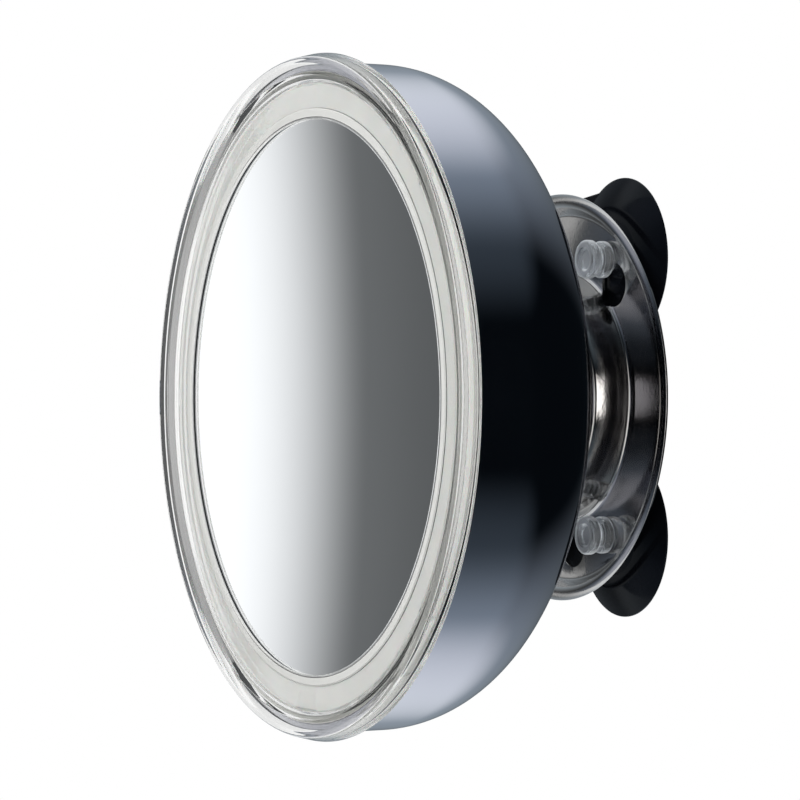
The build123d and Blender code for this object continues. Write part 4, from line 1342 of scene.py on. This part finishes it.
@dataclass(frozen=True)
class Panel:
    """A soft panel far away that shows only in reflections or only through clear pieces.

    Attributes:
        toward: the direction of its middle.
        full: angle in degrees within which it is at full strength.
        fade: angle in degrees where it has faded to nothing.
        strength: its brightness, or how much it darkens where it is negative.
        tall: how many times taller than wide it is.
        colour: its tint.
    """

    toward: tuple[float, float, float]
    full: float
    fade: float
    strength: float
    tall: float = 1
    colour: Colour = (1, 1, 1)

    def light(self, made: Shader) -> Socket:
        """Add its light, which depends only on the direction from the object.

        Args:
            made: the material's node tree.

        Returns:
            The light as a colour.
        """
        point = made.add("Mapping", Vector=made.place(), Scale=(1, 1, 1 / self.tall))
        aim = Vector(self.toward)
        aim.z /= self.tall
        unit = made.add("VectorMath", "Vector", operation="NORMALIZE", i0=point)
        dot = made.add("VectorMath", "Value", operation="DOT_PRODUCT", i0=unit,
                       i1=tuple(aim.normalized()))
        start, end = (math.cos(math.radians(angle)) for angle in (self.fade, self.full))
        lit = made.ranged(dot, 0.0, self.strength, start, end, "SMOOTHSTEP")
        return made.add("VectorMath", "Vector", operation="SCALE", i0=self.colour, Scale=lit)


@dataclass
class Studio:
    """Camera, soft light, pale floor and the panels that the polished surfaces reflect."""

    azimuth: float = 61.9
    distance: float = 960.0
    shift: float = 27.5
    height: float = -0.8
    lens: float = 148.5
    sensor: float = 36.0
    nearest: float = 0.01
    daylight: float = 0.75
    # Name of each lamp, its place and side in metres, and its watts
    lamps: tuple[tuple[str, tuple[float, float, float], float, float], ...] = (
        ("key", (0.9, -1.3, 1.1), 1.2, 18), ("fill", (-1.2, -1.0, 0.5), 1.4, 12),
        ("back", (0.3, 1.4, 0.9), 1.0, 8),
    )
    floor_level: float = -420.0
    floor_r: float = 1150.0
    floor_fade: Pair = (0.35, 0.98)    # between which shares of its radius it fades
    floor_white: Pair = (0.45, 1.0)    # how white it is before and after
    floor_colour: Colour = (0.86, 0.86, 0.85)
    panel_r: float = 2600.0
    dim: Colour = (0.004, 0.006, 0.008)
    panels: tuple[Panel, ...] = (
        *(Panel((x, 0.15, side * z), full, fade, strength, colour=colour)
          for x, z, full, fade, strength, colour in (
              (-0.43, 0.89, 6, 66, 0.57, (0.87, 1.0, 1.12)),
              (-0.39, 0.91, 1, 39, 0.92, (1.03, 1.0, 0.97)),
              (0.45, 0.88, 1, 42, 0.11, (0.80, 1.0, 1.17)))
          for side in (1, -1)),
        Panel((-0.47, -0.88, 0.0), 24.5, 37.6, 0.94, tall=2.5, colour=(0.98, 0.99, 1.0)),
        Panel((-0.47, -0.88, 0.0), 30, 46, 0.06, tall=2.5, colour=(0.96, 0.99, 1.0)),
        Panel((-0.92, -0.38, 0.0), 12, 34, 0.106, tall=2.5, colour=(0.96, 0.99, 1.0)),
        Panel((0.98, 0.13, 0.0), 3, 7, 3.4, tall=3.5, colour=(1.0, 0.98, 0.96)),
        Panel((0.58, -0.78, -0.25), 22, 42, 1.5, tall=1.3),
    )
    seen_through: tuple[Panel, ...] = (Panel((-0.35, -0.93, 0.0), 10, 32, -0.88, tall=1.6),)

    def camera(self) -> None:
        """Set up the camera: it looks level along (-sin a, cos a) from the solved place."""
        turn = math.radians(self.azimuth)
        ahead = Vector((-math.sin(turn), math.cos(turn), 0))
        right = Vector((math.cos(turn), math.sin(turn), 0))
        spot = right * self.shift - ahead * self.distance
        spot += Vector((0, -WALL_DEPTH, self.height))
        lens = bpy.data.cameras.new("camera")
        lens.lens, lens.sensor_width = self.lens, self.sensor
        lens.clip_start = self.nearest
        eye = linked("camera", lens)
        eye.location = spot * MM
        eye.rotation_euler = ahead.to_track_quat("-Z", "Y").to_euler()
        bpy.context.scene.camera = eye

    def world(self) -> None:
        """White for the camera and for what is seen in metal and glass, plain grey light else."""
        made = Shader(bpy.data.worlds.new("studio"))
        seen = made.add("LightPath", "Is Camera Ray")
        for ray in ("Is Glossy Ray", "Is Transmission Ray"):
            seen = made.math("MAXIMUM", seen, made.add("LightPath", ray))
        plain, white = (
            made.add("Background", Color=(1, 1, 1, 1), Strength=level)
            for level in (self.daylight, 1.0)
        )
        bpy.context.scene.world = made.end(made.add("MixShader", i0=seen, i1=plain, i2=white))

    def lamp(self, name: str, spot: Sequence[float], size: float, power: float) -> None:
        """Add a soft square lamp that points at the object and shows in no reflection.

        Args:
            name: its name.
            spot: where it stands, in metres.
            size: its side in metres.
            power: its power in watts.
        """
        light = bpy.data.lights.new(name, "AREA")
        light.size, light.energy = size, power
        thing = linked(name, light)
        thing.location = spot
        thing.rotation_euler = (-Vector(spot)).to_track_quat("-Z", "Y").to_euler()
        thing.visible_glossy = thing.visible_transmission = False

    def floor(self) -> None:
        """Round pale floor that fades to the white of the background at its edge."""
        angle = np.linspace(0, TURN, 96, endpoint=False)
        outline = np.linspace((0, self.floor_level), (self.floor_r, self.floor_level), 12)
        sheet = surface("floor", lathe(outline, angle) * MM, wrap_rows=False)
        made = Shader(bpy.data.materials.new("pale_floor"))
        start, end = (share * self.floor_r * MM for share in self.floor_fade)
        rim = made.ranged(made.away(1, 1, 0), *self.floor_white, start, end, "SMOOTHSTEP")
        seen = made.math("MULTIPLY", rim, made.add("LightPath", "Is Camera Ray"))
        pale = made.add("BsdfPrincipled", Base_Color=(*self.floor_colour, 1), Roughness=0.7)
        white = made.add("Emission", Color=(1, 1, 1, 1), Strength=1.0)
        mix = made.add("MixShader", Fac=seen, i1=pale, i2=white)
        sheet.data.materials.append(made.end(mix))
        sheet.visible_glossy = sheet.visible_transmission = False

    def surround(self, name: str, ray: str, base: Colour, panels: Sequence[Panel]) -> None:
        """Big sphere round the object that carries soft panels and that one kind of ray sees.

        Args:
            name: its name.
            ray: the kind of ray that sees it, glossy or transmission.
            base: brightness between the panels.
            panels: the panels, whose light adds up.
        """
        angle = np.linspace(0, TURN, 64, endpoint=False)
        outline = arc_points((0, 0), self.panel_r, 180, 0, 33)
        sphere = surface(name, lathe(outline, angle) * MM, wrap_rows=False)
        made = Shader(bpy.data.materials.new(name))
        total = panels[0].light(made)
        for more in (*(panel.light(made) for panel in panels[1:]), base):
            total = made.add("VectorMath", "Vector", operation="ADD", i0=total, i1=more)
        sphere.data.materials.append(made.end(made.add("Emission", Color=total, Strength=1.0)))
        for kind in ("camera", "diffuse", "glossy", "transmission", "volume_scatter", "shadow"):
            setattr(sphere, f"visible_{kind}", kind == ray)

    def build(self) -> None:
        """Set up the whole studio."""
        self.camera()
        self.world()
        for lamp in self.lamps:
            self.lamp(*lamp)
        self.floor()
        self.surround("reflected_panels", "glossy", self.dim, self.panels)
        self.surround("panels_seen_through", "transmission", (1.0, 1.0, 1.0), self.seen_through)
        bpy.context.scene.view_settings.view_transform = "Standard"


def main() -> None:
    """Build the studio and the pieces in order and report each of them."""
    logging.basicConfig(level=logging.INFO, format="%(message)s")
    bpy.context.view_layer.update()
    Studio().build()
    bench = Bench()
    cups = (("upper", 60, 150), ("lower", -60, -165), ("side", 180, 180))
    for assembly in (LightRing(), Glass(), Shell(), PowerButton(), WallPlate(), Pivot(),
                     *(SuctionCup(*cup) for cup in cups)):
        assembly.build(bench)
    bench.finish_rest()


if __name__ == "__main__":
    main()
